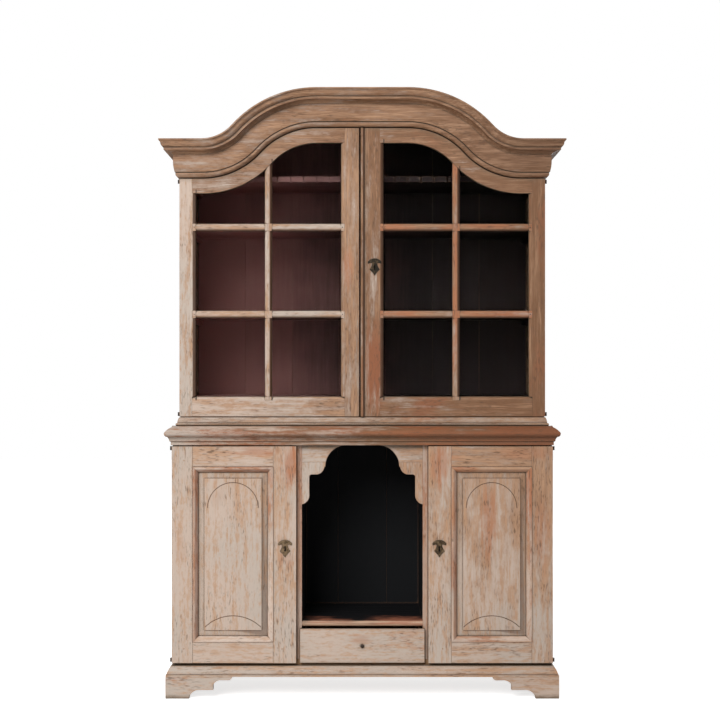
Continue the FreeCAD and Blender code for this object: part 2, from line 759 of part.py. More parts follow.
def build_plinth():
    """Plinth mouldings, bracket feet and the blocks behind them."""
    thick = lower_front - lower_face
    pieces = run_round("plinth", plinth_section, {3: (size["plinth_radius"], -1)}, thick,
                       lower_half, lower_face, size["plinth_out"])
    node("plinth", group("plinth_set", list(pieces)))
    half = lower_half + size["plinth_out"]
    face = lower_face - size["plinth_out"]
    rear = back

    def outline(toe_end, hand, ends):
        """A bracket's outline as (along, height), drawn inwards from its outer end."""
        steps = [(size["foot_toe"], as_size(0)), (size["foot_knee"], size["foot_rise"]),
                 (size["foot_step"], size["foot_rise"]), (size["foot_step"], size["foot_shelf"])]
        steps += [(along, size["foot_ledge_rise"]) for along in ends[:-1]]
        steps.append((ends[-1], size["foot_height"]))
        corners = [(toe_end, size["foot_height"]), (toe_end, as_size(0))]
        corners += [(toe_end + hand * along, high) for along, high in steps]
        rounds = {2: (size["foot_radius"], -hand), 5: (size["ledge_radius"], -hand),
                  len(corners) - 2: (size["tip_radius"], hand)}
        return corners, rounds

    def front_foot(side):
        ends = (size["foot_ledge"], size["foot_spur"], size["foot_tip"])
        corners, rounds = outline(side * half, -side, ends)
        body = front_plate("front_foot_{}".format(side + 1), corners, rounds, face + size["foot_board"],
                           size["foot_board"])
        shift = face + size["foot_board"]
        corner = [(side * half, face - shift), (side * (half + size["foot_board"]), face - shift),
                  (side * (half + size["foot_board"]), as_size(size["foot_board"])),
                  (side * (half - size["foot_board"]), as_size(size["foot_board"])),
                  (side * (half - size["foot_board"]), as_size(0))]
        return trim(body, "XY_Plane", [(corner, {})])

    def side_foot(side, at_front):
        end = face if at_front else rear
        ends = (size["side_foot_ledge"], size["side_foot_tip"])
        corners, rounds = outline(end, 1 if at_front else -1, ends)
        inner = side * half if side < 0 else half - size["foot_board"]
        name = "side_foot_{}_{}".format(side + 1, int(at_front))
        body = padded(name, "YZ_Plane", corners, rounds, size["foot_board"], (inner, 0, 0))
        if at_front:
            near, far = (size["foot_board"], as_size(0)) if side < 0 else (as_size(0), size["foot_board"])
            corner = [(far, face), (near, face), (near, face + size["foot_board"])]
            trim(body, "XY_Plane", [(corner, {})])
        return body

    feet = [front_foot(side) for side in (-1, 1)]
    feet += [side_foot(side, at_front) for side in (-1, 1) for at_front in (True, False)]
    node("bracket_feet", group("foot_set", feet))

    def block(side, at_front):
        outer = half - size["foot_board"]
        start = face + size["foot_board"] if at_front else rear - size["foot_block"]
        return board("foot_block_{}_{}".format(side + 1, int(at_front)),
                     (side * outer, side * (outer - size["foot_block"])),
                     (start, start + size["foot_block"]), (0, size["foot_height"]))

    node("foot_blocks", group("block_set", [block(side, end) for side in (-1, 1) for end in (True, False)]))


def boards_across(name, count, half, z):
    """Upright back boards side by side."""
    width = 2 * half / count
    return [board("{}_{}".format(name, number), (number * width - half, (number + 1) * width - half),
                  (back_inside, back), z) for number in range(count)]


def bolt_box(name, side, tip, middle, face, slip):
    """The space of a lower lock bolt, grown by slip, with its tip at a half width."""
    deep = face + size["lock_wall"]
    return board(name, (side * (tip - slip), side * (tip + size["bolt_long"] + slip)),
                 (deep - slip, deep + size["bolt_thick"] + slip),
                 (middle - size["bolt_tall"] / 2 - slip, middle + size["bolt_tall"] / 2 + slip))


def build_lower_case():
    """Sides, boards, partitions and niche."""
    depth = (lower_front, back_inside)
    node("lower_bottom_board", board("lower_bottom", (-lower_inside, lower_inside), depth,
                                     (size["lower_bottom_under"], lower_floor)))
    node("lower_sides", both_sides("lower_side_pair", lambda side: board(
        "lower_side_{}".format(side + 1), (side * lower_inside, side * lower_half), (lower_front, back),
        (size["foot_height"], lower_head))))
    node("lower_top_board", board("lower_top", (-lower_half, lower_half), (lower_front, back),
                                  (lower_head, waist_tip)))
    node("lower_back_boards", group("lower_back_set", boards_across(
        "lower_back", LOWER_BOARDS, lower_inside, (size["foot_height"], lower_head))))
    stile_back = lower_front + size["inner_board"]
    wall = size["niche_half"] + size["inner_board"]
    node("niche_partitions", both_sides("partition_pair", lambda side: board(
        "partition_{}".format(side + 1), (side * size["niche_half"], side * wall),
        (stile_back, back_inside), (lower_floor, lower_head))))
    node("waist_moulding", group("waist_set", list(run_round(
        "waist", waist_section, {3: (size["waist_cove_radius"], 1), 5: (size["waist_radius"], -1),
                                 7: (size["waist_slope_radius"], -1)},
        lower_front - lower_face, lower_half, lower_face, size["waist_out"],
        size["set_back"] - size["base_out"]))))

    stile_edge = size["niche_half"] + size["niche_stile"]

    def stile(side):
        plain = board("niche_stile_board_{}".format(side + 1), (side * size["niche_half"], side * stile_edge),
                      (lower_front, stile_back), (lower_floor, lower_head))
        tip = stile_edge - size["bolt_throw"]
        keeper = bolt_box("keeper_{}".format(side + 1), side, tip, lock_height,
                          lower_front - size["door_gap"], size["keeper_slip"])
        return cut("niche_stile_{}".format(side + 1), plain, [keeper])

    node("niche_stiles", both_sides("niche_stile_pair", stile))
    build_apron(stile_back)
    floor_top = niche_floor_under + size["niche_floor_board"]
    nose_back = lower_front + size["nose_deep"]
    nose = [(nose_back, niche_floor_under), (back_inside, niche_floor_under), (back_inside, floor_top),
            (nose_back, floor_top)]
    node("niche_floor", moulding_x("niche_floor_board", nose, {3: (size["nose_radius"], 1)},
                                   -size["niche_half"], size["niche_half"]))


def build_apron(stile_back):
    """Head rail of the niche and the two shaped brackets under it."""
    rail_foot = lower_head - size["apron_rail"]
    arch_top = lower_head - size["apron_crown"]
    arch_foot = arch_top - size["apron_arch"]
    throat = size["niche_half"] - size["apron_throat"]
    arch_half = throat - size["apron_fillet"]
    crown_half = arch_half - size["apron_arch"]
    cut_drop = rail_foot - arch_foot
    cut_half = crown_half + Size(
        math.sqrt(size["apron_arch"].number ** 2 - cut_drop.number ** 2),
        "sqrt({0} * {0} - {1} * {1})".format(size["apron_arch"].text, cut_drop.text))
    rail = [(-size["niche_half"], lower_head), (-size["niche_half"], rail_foot), (-cut_half, rail_foot),
            (-crown_half, arch_top), (crown_half, arch_top),
            (cut_half, rail_foot), (size["niche_half"], rail_foot), (size["niche_half"], lower_head)]
    arch = (size["apron_arch"], -1)
    head = front_plate("apron_rail_board", rail, {2: arch, 4: arch}, stile_back, size["inner_board"])
    ledge = arch_foot - size["apron_step"]
    cheek = size["niche_half"] - size["apron_cheek"]
    cheek_top = ledge - size["apron_turn"]
    cheek_foot = cheek_top - size["apron_ear"]
    corners = [(size["niche_half"], rail_foot), (cut_half, rail_foot), (arch_half, arch_foot),
               (throat, arch_foot), (throat + size["apron_hollow"], ledge),
               (cheek - size["apron_turn"], ledge), (cheek, cheek_top),
               (cheek, cheek_foot), (size["niche_half"], cheek_foot - size["apron_toe"])]
    rounds = {1: (size["apron_arch"], -1), 3: (size["apron_hollow_radius"], 1),
              5: (size["apron_corner_radius"], -1), 7: (size["apron_toe_radius"], 1)}
    right = front_plate("apron_bracket", corners, rounds, stile_back, size["inner_board"])
    node("niche_apron", group("apron_set", [head, right, mirrored("apron_other_bracket", right)]))


def build_upper_case():
    """Sides, floor, roof, back and cornice of the glazed part."""
    roof_under = curve_end + size["roof_lift"]
    node("upper_sides", both_sides("upper_side_pair", lambda side: board(
        "upper_side_{}".format(side + 1), (side * upper_inside, side * upper_half), (upper_front, back),
        (waist_tip, roof_under))))
    stop_back = upper_front + size["inner_board"]
    node("upper_base_rail", board("upper_rail", (-upper_inside, upper_inside), (upper_front, stop_back),
                                  (waist_tip, upper_floor_under)))
    floor = board("upper_floor_board", (-upper_inside, upper_inside), (upper_front, back_inside),
                  (upper_floor_under, upper_floor))
    hole = rod("slide_hole", size["slide_radius"] + size["slide_slip"],
               (slide_x, slide_y, upper_floor_under), size["case_board"])
    node("upper_bottom_board", cut("upper_floor_bored", floor, [hole]))
    node("base_moulding", group("base_set", list(run_round(
        "base", base_section, {2: (size["base_bead_radius"], -1), 4: (size["base_radius"], -1)},
        upper_front - upper_face, upper_half, upper_face, size["base_out"] + size["base_bead_radius"]))))
    node("head_board", curved_board("head_plate", size["roof_lift"], ("curve", -size["head_lap"]),
                                    upper_inside, stop_back, size["inner_board"]))
    roof_top = size["roof_lift"] + size["roof_board"]
    node("roof_boards", curved_board("roof_plate", roof_top, ("curve", size["roof_lift"]), upper_half,
                                     back, back - upper_front))
    whole_back = curved_board("upper_back_plate", size["roof_lift"], ("level", waist_tip), upper_inside,
                              back, size["back_board"])
    width = 2 * upper_inside / UPPER_BOARDS
    strips = []
    for number in range(UPPER_BOARDS):
        strip = board("upper_back_strip_{}".format(number),
                      (number * width - upper_inside, (number + 1) * width - upper_inside),
                      (back_inside, back), (waist_tip, crown + size["roof_lift"]))
        item = doc.addObject("Part::Common", "upper_back_{}".format(number))
        item.Base = whole_back
        item.Tool = strip
        strips.append(item)
    node("upper_back_boards", group("upper_back_set", strips))
    build_cornice()


def build_cornice():
    """The serpentine cornice, swept from the crown to one end and mirrored, with its returns."""
    behind = upper_front - upper_face
    half_length = upper_half + size["cornice_out"]
    body = doc.addObject("PartDesign::Body", "cornice_half")
    section = [(upper_face - u, z) for u, z in cornice_section(behind, crown)]
    profile = sketch_on(body, "YZ_Plane", [(section, cornice_rounds(1))])
    path_corners, path_rounds = reverse(*serpentine(as_size(0), half_length, 0, 1))
    path = sketch_on(body, "XZ_Plane", [(path_corners, path_rounds)], "Path", closed=False)
    pipe = body.newObject("PartDesign::AdditivePipe", "Sweep")
    pipe.Profile = profile
    pipe.Spine = path
    trim(body, "XY_Plane", [plan_mitre(upper_half, upper_face, size["cornice_out"], 1)])
    node("cornice_front", fuse("cornice_whole", [body, mirrored("cornice_other_half", body)]))
    returned = [(upper_half + u, z) for u, z in cornice_section(as_size(0), curve_end)]
    side_run = moulding_y("cornice_return", returned, cornice_rounds(-1),
                          upper_face - size["cornice_out"], back)
    trim(side_run, "XY_Plane", [return_mitre(upper_half, upper_face, size["cornice_out"], as_size(0))])
    node("cornice_returns", group("cornice_return_pair", [
        side_run, mirrored("cornice_other_return", side_run)]))


def shelf_ledge(name, half, inner, front, top):
    """A pair of battens under one shelf, between a wall and batten_width inside it."""
    under = top - size["shelf_board"]
    return [board("{}_{}".format(name, side + 1), (side * half, side * inner), (front, back_inside),
                  (under - size["batten_tall"], under)) for side in (-1, 1)]


def build_shelves():
    """Glazed shelves, the notched shelf, cupboard shelves and the battens that carry them."""
    front = upper_front + size["shelf_front"]
    span = (-upper_inside, upper_inside)
    levels = (("low", bar_low + size["shelf_low_lift"]), ("mid", bar_high + size["shelf_mid_lift"]))
    spoon_top = curve_end + size["shelf_top_lift"]
    cup_top = lower_floor + size["cupboard_shelf"]
    node("plate_shelves", group("plate_shelf_set", [
        board("plate_shelf_" + name, span, (front, back_inside), (top - size["shelf_board"], top))
        for name, top in levels]))
    plain = board("spoon_shelf_board", span, (front, back_inside),
                  (spoon_top - size["shelf_board"], spoon_top))
    count = int(2 * size["notch_run"].number / size["notch_pitch"].number)
    first = -count * size["notch_pitch"] / 2
    notches = [board("notch_{}".format(number),
                     (first + number * size["notch_pitch"] - size["notch_width"] / 2,
                      first + number * size["notch_pitch"] + size["notch_width"] / 2),
                     (front - size["notch_deep"], front + size["notch_deep"]),
                     (spoon_top - size["shelf_board"], spoon_top))
               for number in range(count + 1)]
    node("spoon_shelf", cut("spoon_shelf_cut", plain, notches))
    wall = size["niche_half"] + size["inner_board"]
    cup_front = lower_front + size["cupboard_front"]
    node("cupboard_shelves", both_sides("cupboard_shelf_pair", lambda side: board(
        "cupboard_shelf_{}".format(side + 1), (side * wall, side * lower_inside), (cup_front, back_inside),
        (cup_top - size["shelf_board"], cup_top))))
    battens = []
    for name, top in levels + (("top", spoon_top),):
        battens += shelf_ledge("batten_" + name, upper_inside, upper_inside - size["batten_width"],
                               front, top)
    battens += shelf_ledge("batten_cup_out", lower_inside, lower_inside - size["batten_width"],
                           cup_front, cup_top)
    battens += shelf_ledge("batten_cup_in", wall, wall + size["batten_width"], cup_front, cup_top)
    node("shelf_battens", group("batten_set", battens))


def build_drawer():
    """Drawer front, sides, back, bottom and iron pull."""
    face_back = lower_front - size["door_gap"]
    face = face_back - size["drawer_front_thick"]
    half = size["niche_half"] - size["drawer_side_gap"]
    foot = lower_floor + size["drawer_slip"]
    top = niche_floor_under - size["drawer_head"]
    rear = back_inside - size["drawer_room"]
    lap = size["niche_half"] + size["drawer_lap"]
    plain = board("drawer_face", (-lap, lap), (face, face_back), (lower_door_foot, drawer_front_top))
    pull_z = (lower_door_foot + drawer_front_top) / 2
    bore = rod("pull_bore", size["pull_shank"] + size["pin_slip"], (0, face, pull_z),
               size["drawer_front_thick"], "Y")
    node("drawer_front", cut("drawer_face_bored", plain, [bore]))
    floor_z = foot + size["drawer_floor_lift"]
    inner = half - size["drawer_wall"]
    groove = inner + size["drawer_groove"]
    rear_inner = rear - size["drawer_wall"]
    floor_span = ((-groove, groove), (face_back, rear_inner + size["drawer_groove"]),
                  (floor_z, floor_z + size["drawer_floor"]))
    node("drawer_bottom", board("drawer_floor_board", *floor_span))

    def wall(name, x, y):
        plain = board(name + "_board", x, y, (foot, top))
        return cut(name, plain, [board(name + "_groove", *floor_span)])

    walls = [wall("drawer_side_{}".format(side + 1), (side * inner, side * half), (face_back, rear))
             for side in (-1, 1)]
    walls.append(wall("drawer_back", (-inner, inner), (rear_inner, rear)))
    node("drawer_box", group("drawer_walls", walls))
    shank = rod("pull_pin", size["pull_shank"], (0, face - size["pull_out"] / 2, pull_z),
                size["pull_out"] / 2 + size["drawer_front_thick"], "Y")
    neck = rod("pull_neck", size["pull_collar"], (0, face - size["pull_out"] / 2, pull_z),
               size["pull_out"] / 2, "Y")
    head = doc.addObject("Part::Ellipsoid", "pull_head")
    bind(head, "Radius1", size["pull_out"] / 2)
    bind(head, "Radius2", size["pull_radius"])
    bind(head, "Radius3", size["pull_radius"])
    head.Placement = FreeCAD.Placement(FreeCAD.Vector(), FreeCAD.Rotation(FreeCAD.Vector(1, 0, 0), 90))
    bind(head, "Placement.Base.y", face - size["pull_out"] / 2)
    bind(head, "Placement.Base.z", pull_z)
    node("drawer_pull", fuse("pull_whole", [shank, neck, head]))


def hinge(name, side, half, joint, low):
    """A pintle with its leaf on the case, and an eye with its leaf on the door."""
    x = side * (half + size["hinge_out"])
    upper = low + size["knuckle_tall"] + size["knuckle_slip"]
    pin_top = upper + size["knuckle_tall"]
    case_leaf = board(name + "_case_leaf", (side * half, side * (half + size["leaf_thick"])),
                      (joint, joint + size["leaf_long"]), (low, low + size["knuckle_tall"]))
    pintle = fuse(name + "_pintle", [
        case_leaf, rod(name + "_socket", size["knuckle_radius"], (x, joint, low), size["knuckle_tall"]),
        rod(name + "_pin", size["hinge_pin"], (x, joint, low), pin_top - low)])
    door_leaf = board(name + "_door_leaf", (side * half, side * (half + size["leaf_thick"])),
                      (joint - size["door_gap"] - size["leaf_door"], joint), (upper, pin_top))
    eye = fuse(name + "_eye_blank", [
        door_leaf, rod(name + "_eye_round", size["knuckle_radius"], (x, joint, upper), size["knuckle_tall"])])
    bore = rod(name + "_bore", size["hinge_pin"] + size["pin_slip"], (x, joint, upper), size["knuckle_tall"])
    return pintle, cut(name + "_eye", eye, [bore])


def door_hinges(name, side, half, joint, foot, top):
    """A hinge at each end of a door; the eyes become the door's node."""
    tall = 2 * size["knuckle_tall"] + size["knuckle_slip"]
    low = hinge(name + "_low", side, half, joint, foot + size["hinge_inset"])
    high = hinge(name + "_high", side, half, joint, top - size["hinge_inset"] - tall)
    node(name + "_hinge_eyes", group(name + "_eye_pair", [low[1], high[1]]))
    return [low[0], high[0]]


def keyhole(name, x, z, rear, thick):
    """A keyhole to cut, round below and slotted above."""
    return fuse(name, [
        rod(name + "_round", size["key_radius"], (x, rear, z - size["key_length"] / 2), thick, "Y"),
        board(name + "_slot", (x - size["key_slot"] / 2, x + size["key_slot"] / 2), (rear, rear + thick),
              (z - size["key_length"] / 2, z + size["key_length"] / 2))])


def lock_plate(name, x, z, face):
    """A capped shield with a keyhole, on the face of a door."""
    top = size["plate_top"]
    cap_foot = top - size["plate_cap"]
    cap_radius = (size["plate_half"] * size["plate_half"] + size["plate_cap"] * size["plate_cap"]) / (
        2 * size["plate_cap"])
    right = [(as_size(0), top), (size["plate_half"], cap_foot),
             (size["plate_half"] - size["plate_tip_slant"], cap_foot - size["plate_tip"]),
             (size["plate_neck"], top - size["plate_neck_drop"]),
             (size["plate_body"], top - size["plate_body_drop"]), (as_size(0), -size["plate_drop"])]
    rounds = {0: (cap_radius, -1), 2: (size["plate_under_radius"], 1), 3: (size["plate_cheek_radius"], 1),
              4: (size["plate_skirt_radius"], 1)}
    turned = {index: (radius, -turn) for index, (radius, turn) in rounds.items()}
    left, left_rounds = reverse([(-u, v) for u, v in right], turned)
    corners, rounds = chain((right[:-1], rounds), (left[:-1], left_rounds))
    corners = [(x + u, z + v) for u, v in corners]
    blank = front_plate(name + "_blank", corners, rounds, face, size["plate_thick"])
    hole = keyhole(name + "_key", x, z, face - size["plate_thick"], size["plate_thick"])
    return node(name, cut(name + "_plate", blank, [hole]))


def lower_door(name, side):
    """A framed door with a raised panel, mitred mouldings, lock and hinge eyes."""
    rear = lower_face + size["door_thick"]
    thick = (lower_face, rear)
    outer, inner = lower_half, lower_door_inner
    opening_x = (inner + size["lock_stile"], outer - size["hinge_stile"])
    opening_z = (lower_door_foot + size["lower_foot_rail"], lower_door_top - size["lower_head_rail"])
    groove = size["panel_groove"]
    tongue_y = (lower_face + size["panel_sink"], lower_face + size["panel_sink"] + size["panel_tongue"])
    tongue = ((side * (opening_x[0] - groove), side * (opening_x[1] + groove)), tongue_y,
              (opening_z[0] - groove, opening_z[1] + groove))
    key_x = side * (inner + size["lock_reach"])
    door_z = (lower_door_foot, lower_door_top)
    spans = {
        "hinge_stile": ((opening_x[1], outer), door_z),
        "lock_stile": ((inner, opening_x[0]), door_z),
        "head_rail": (opening_x, (opening_z[1], door_z[1])),
        "foot_rail": (opening_x, (door_z[0], opening_z[0])),
    }
    members = []
    for part, (x, z) in spans.items():
        plain = board("{}_{}_board".format(name, part), (side * x[0], side * x[1]), thick, z)
        tools = [board("{}_{}_groove".format(name, part), *tongue)]
        if part == "lock_stile":
            tools.append(keyhole(name + "_stile_key", key_x, lock_height, lower_face, size["door_thick"]))
        members.append(cut("{}_{}".format(name, part), plain, tools))
    node(name + "_frame", group(name + "_members", members))
    node(name + "_panel", raised_panel(name, side, tongue, opening_x, opening_z))
    node(name + "_mouldings", group(name + "_strips", panel_strips(name, side, opening_x, opening_z)))
    lock_plate(name + "_escutcheon", key_x, lock_height, lower_face)
    stile_edge = size["niche_half"] + size["niche_stile"] + size["lock_clear"]
    case_z = (lock_height - size["lock_tall"] / 2, lock_height + size["lock_tall"] / 2)
    plain = board(name + "_lock_block", (side * stile_edge, side * (stile_edge + size["lock_width"])),
                  (rear, rear + size["lock_deep"]), case_z)
    slot = bolt_box(name + "_lock_slot", side, stile_edge, lock_height, rear, size["bolt_slip"])
    node(name + "_lock_case", cut(name + "_lock_body", plain, [slot]))
    node(name + "_lock_bolt", bolt_box(name + "_bolt", side, stile_edge, lock_height, rear, as_size(0)))
    joint = lower_front - size["door_gap"] / 2
    return door_hinges(name, side, lower_half, joint, lower_door_foot, lower_door_top)


def raised_panel(name, side, tongue, opening_x, opening_z):
    """A fielded panel with an arched line at its head and a flat arch at its foot."""
    plate = board(name + "_tongue", *tongue)
    field_y = lower_face + size["panel_field_sink"]
    foot_y = lower_face + size["panel_sink"]

    def inside(margin):
        """The opening's range across and up, drawn in by a margin."""
        across = ordered((side * (opening_x[0] + margin), side * (opening_x[1] - margin)))
        return across, (opening_z[0] + margin, opening_z[1] - margin)

    field_x, field_z = inside(size["panel_border"])
    bevel_x, bevel_z = inside(size["mould_width"])
    step_y = field_y + size["panel_step"]
    raised = board(name + "_raised", field_x, (field_y, step_y), field_z)
    spans = {"X": field_x, "Z": field_z, "X2": bevel_x, "Z2": bevel_z, "Y": (step_y, foot_y)}
    field = doc.addObject("Part::Wedge", name + "_field")
    for axis, (low, high) in spans.items():
        bind(field, axis + "min", low)
        bind(field, axis + "max", high)
    middle = (field_x[0] + field_x[1]) / 2
    arch_z = field_z[1] - size["scribe_drop"]
    low_z = field_z[0] + size["scribe_low_rise"] - size["scribe_low_radius"]
    lines = [scribed_arc(name + "_head_line", size["scribe_radius"], as_size(90), middle, field_y, arch_z),
             scribed_arc(name + "_foot_line", size["scribe_low_radius"], size["scribe_low_half"],
                         middle, field_y, low_z)]
    return cut(name + "_scribed", fuse(name + "_panel_blank", [plate, field, raised]), lines)


def scribed_arc(name, radius, half_angle, x, y, z):
    """A round-bottomed line to cut in a face, arched about the upward direction."""
    item = doc.addObject("Part::Torus", name)
    bind(item, "Radius1", radius)
    bind(item, "Radius2", size["scribe_cut"])
    bind(item, "Angle3", half_angle * 2)
    item.Placement = FreeCAD.Placement(FreeCAD.Vector(), FreeCAD.Rotation(
        FreeCAD.Vector(1, 0, 0), FreeCAD.Vector(0, 0, 1), FreeCAD.Vector(0, -1, 0), "XZY"))
    start = Size(90 - half_angle.number, "(90 - {})".format(half_angle.text))
    turner = doc.addObject("Part::Compound", name + "_turned")
    turner.Links = [item]
    turn = FreeCAD.Rotation(FreeCAD.Vector(0, -1, 0), start.number)
    turner.Placement = FreeCAD.Placement(FreeCAD.Vector(), turn)
    turner.setExpression("Placement.Rotation.Angle", start.text)
    for letter, value in zip("xyz", (x, y, z)):
        bind(turner, "Placement.Base." + letter, value)
    return turner


def panel_strips(name, side, opening_x, opening_z):
    """Four mitred strips round the panel, inside the frame."""
    width = size["mould_width"]
    x = ordered((side * opening_x[0], side * opening_x[1]))
    z = opening_z
    rear = lower_face + size["panel_sink"]
    front = lower_face - size["mould_proud"]
    edge = rear - size["mould_edge"]
    long_x, long_z = x[1] - x[0], z[1] - z[0]

    def section(start, hand):
        """(across, depth) of a strip that starts at the frame and runs inwards."""
        corners = [(start, rear), (start, front), (start + hand * size["mould_fillet"], front),
                   (start + hand * width, edge), (start + hand * width, rear)]
        return corners, {2: (size["mould_radius"], hand)}

    strips = []
    for part, start, hand in (("foot", z[0], 1), ("head", z[1], -1)):
        corners, rounds = section(start, hand)
        swapped = [(y, across) for across, y in corners]
        turned = {index: (radius, -turn) for index, (radius, turn) in rounds.items()}
        body = moulding_x("{}_{}_strip".format(name, part), swapped, turned, x[0], x[1])
        top = start + hand * width
        waste = [([(0, start), (0, top), (width, top)], {}),
                 ([(long_x, start), (long_x, top), (long_x - width, top)], {})]
        strips.append(trim(body, "XZ_Plane", waste))
    for part, start, hand in (("left", x[0], 1), ("right", x[1], -1)):
        corners, rounds = section(start, hand)
        body = moulding_z("{}_{}_strip".format(name, part), corners, rounds, z[0], z[1])
        far = start + hand * width
        waste = [([(start, 0), (far, 0), (far, width)], {}),
                 ([(start, long_z), (far, long_z), (far, long_z - width)], {})]
        strips.append(trim(body, "XZ_Plane", waste))
    return strips


# The slide bolt stands behind the left door's meeting stile
slide_x = -size["slide_inset"] - size["door_meet"] - size["door_split"] / 2
slide_y = upper_front - size["door_gap"] + size["slide_back"]


def edge_section(start, hand, face, rear):
    """(across, depth) of a moulded and rebated inner edge, from the glass outwards."""
    rebate = start + hand * size["glass_rebate"]
    full = start + hand * size["edge_mould"]
    corners = [(full, face), (start, face + size["edge_depth"]), (start, face + size["glass_seat"]),
               (rebate, face + size["glass_seat"]), (rebate, rear), (full, rear)]
    return corners, {0: (size["edge_radius"], -hand)}


def bar_section(middle, face, rear):
    """(across, depth) of a glazing bar: rounded front, web behind."""
    half, flat = size["bar_width"] / 2, size["bar_flat"] / 2
    front, edge, seat = face + size["bar_sink"], face + size["edge_depth"], face + size["glass_seat"]
    corners = [(middle - flat, front), (middle + flat, front), (middle + half, edge), (middle + half, seat),
               (middle + flat, seat), (middle + flat, rear), (middle - flat, rear), (middle - flat, seat),
               (middle - half, seat), (middle - half, edge)]
    return corners, {1: (size["bar_radius"], 1), 9: (size["bar_radius"], 1)}


def swap(section):
    """A section with its two directions exchanged."""
    corners, rounds = section
    return [(b, a) for a, b in corners], {index: (radius, -turn) for index, (radius, turn) in rounds.items()}


def upper_door(name, side):
    """A glazed door under the serpentine: stiles, rails, bars, panes and hinge eyes."""
    face, rear = upper_face, upper_face + size["door_thick"]
    meet = size["door_split"] / 2 - side * size["door_meet"]
    stile_in = size["glass_inner"] - size["edge_mould"]
    stile_out = glass_outer + size["edge_mould"]
    crown_top = crown - size["arch_gap"]
    end_top = curve_end - size["arch_gap"]
    bars_z = (bar_low, bar_high)
    half_bar = size["bar_width"] / 2

    def notch(part, x, middle):
        return board("{}_{}_{}".format(name, part, int(middle.number)), (side * x[0], side * x[1]),
                     (face, rear), (middle - half_bar, middle + half_bar))

    def stile(part, core, glass, hand, core_top, edge_top):
        solid = board("{}_{}_core".format(name, part), (side * core[0], side * core[1]), (face, rear),
                      (upper_door_foot, core_top))
        corners, rounds = edge_section(side * glass, side * hand, face, rear)
        edge = moulding_z("{}_{}_edge".format(name, part), corners, rounds, glass_foot, edge_top)
        far = glass + hand * size["edge_mould"]
        notched = cut("{}_{}_notched".format(name, part), edge,
                      [notch(part + "_notch", (glass, far), middle) for middle in bars_z])
        return fuse("{}_{}".format(name, part), [solid, notched])

    hinge_side = stile("hinge_stile", (stile_out, upper_half), glass_outer, 1, end_top,
                       curve_end - size["arch_rail"])
    meeting = stile("meeting_stile", (meet, stile_in), size["glass_inner"], -1, crown_top,
                    crown - size["arch_rail"])
    lock_x = side * (meet + size["upper_lock_reach"])
    if side > 0:
        hole = keyhole(name + "_stile_key", lock_x, upper_lock_height, face, size["door_thick"])
        meeting = cut(name + "_meeting_bored", meeting, [hole])
    rail_core = board(name + "_rail_core", (side * stile_in, side * stile_out), (face, rear),
                      (upper_door_foot, glass_foot - size["edge_mould"]))
    corners, rounds = swap(edge_section(glass_foot, -1, face, rear))
    left, right = ordered((side * stile_in, side * stile_out))
    rail_edge = moulding_x(name + "_rail_edge", corners, rounds, left, right)
    foot_notch = board(name + "_foot_notch",
                       (side * (bar_upright - half_bar), side * (bar_upright + half_bar)),
                       (face, rear), (glass_foot - size["edge_mould"], glass_foot))
    rail = fuse(name + "_rail", [rail_core, cut(name + "_rail_notched", rail_edge, [foot_notch])])
    members = [hinge_side, meeting, rail]
    if side > 0:
        members.append(meeting_strip(name, meet, face, crown_top))
    node(name + "_frame", group(name + "_members", members))
    arch = arch_rail(name, side, stile_in, stile_out, rear)
    node(name + "_arch_rail", arch)
    node(name + "_bars", glazing_bars(name, side, arch, stile_in, stile_out, face, rear))
    node(name + "_panes", panes(name, side, face))
    if side > 0:
        upper_lock(name, lock_x, meet, face, rear)
    else:
        slide_bolt(name, rear)
    joint = upper_front - size["door_gap"] / 2
    return door_hinges(name, side, upper_half, joint, upper_door_foot, end_top)


def meeting_strip(name, meet, face, top):
    """The rounded strip on the right door's meeting stile."""
    end = meet + size["astragal_width"]
    edge = face - size["astragal_edge"]
    corners = [(meet, face), (meet, edge), (end, edge), (end, face)]
    return moulding_z(name + "_astragal", corners, {1: (size["astragal_radius"], 1)}, upper_door_foot, top)


def arch_rail(name, side, stile_in, stile_out, rear):
    """The curved top rail between the stiles, rebated behind for the glass."""
    upper, upper_rounds = serpentine(-size["arch_gap"], stile_out, stile_in, side)
    lower, lower_rounds = serpentine(-size["arch_rail"], stile_out, stile_in, side)
    corners, rounds = chain((upper, upper_rounds), reverse(lower, lower_rounds))
    plain = front_plate(name + "_arch_board", corners, rounds, rear, size["door_thick"])
    seat = -size["arch_rail"] + size["glass_rebate"]
    upper, upper_rounds = serpentine(seat, stile_out, stile_in, side)
    corners, rounds = chain((upper, upper_rounds), reverse(lower, lower_rounds))
    depth = size["door_thick"] - size["glass_seat"]
    rebate = front_plate(name + "_arch_rebate", corners, rounds, rear, depth)
    return cut(name + "_arch_cut", plain, [rebate])


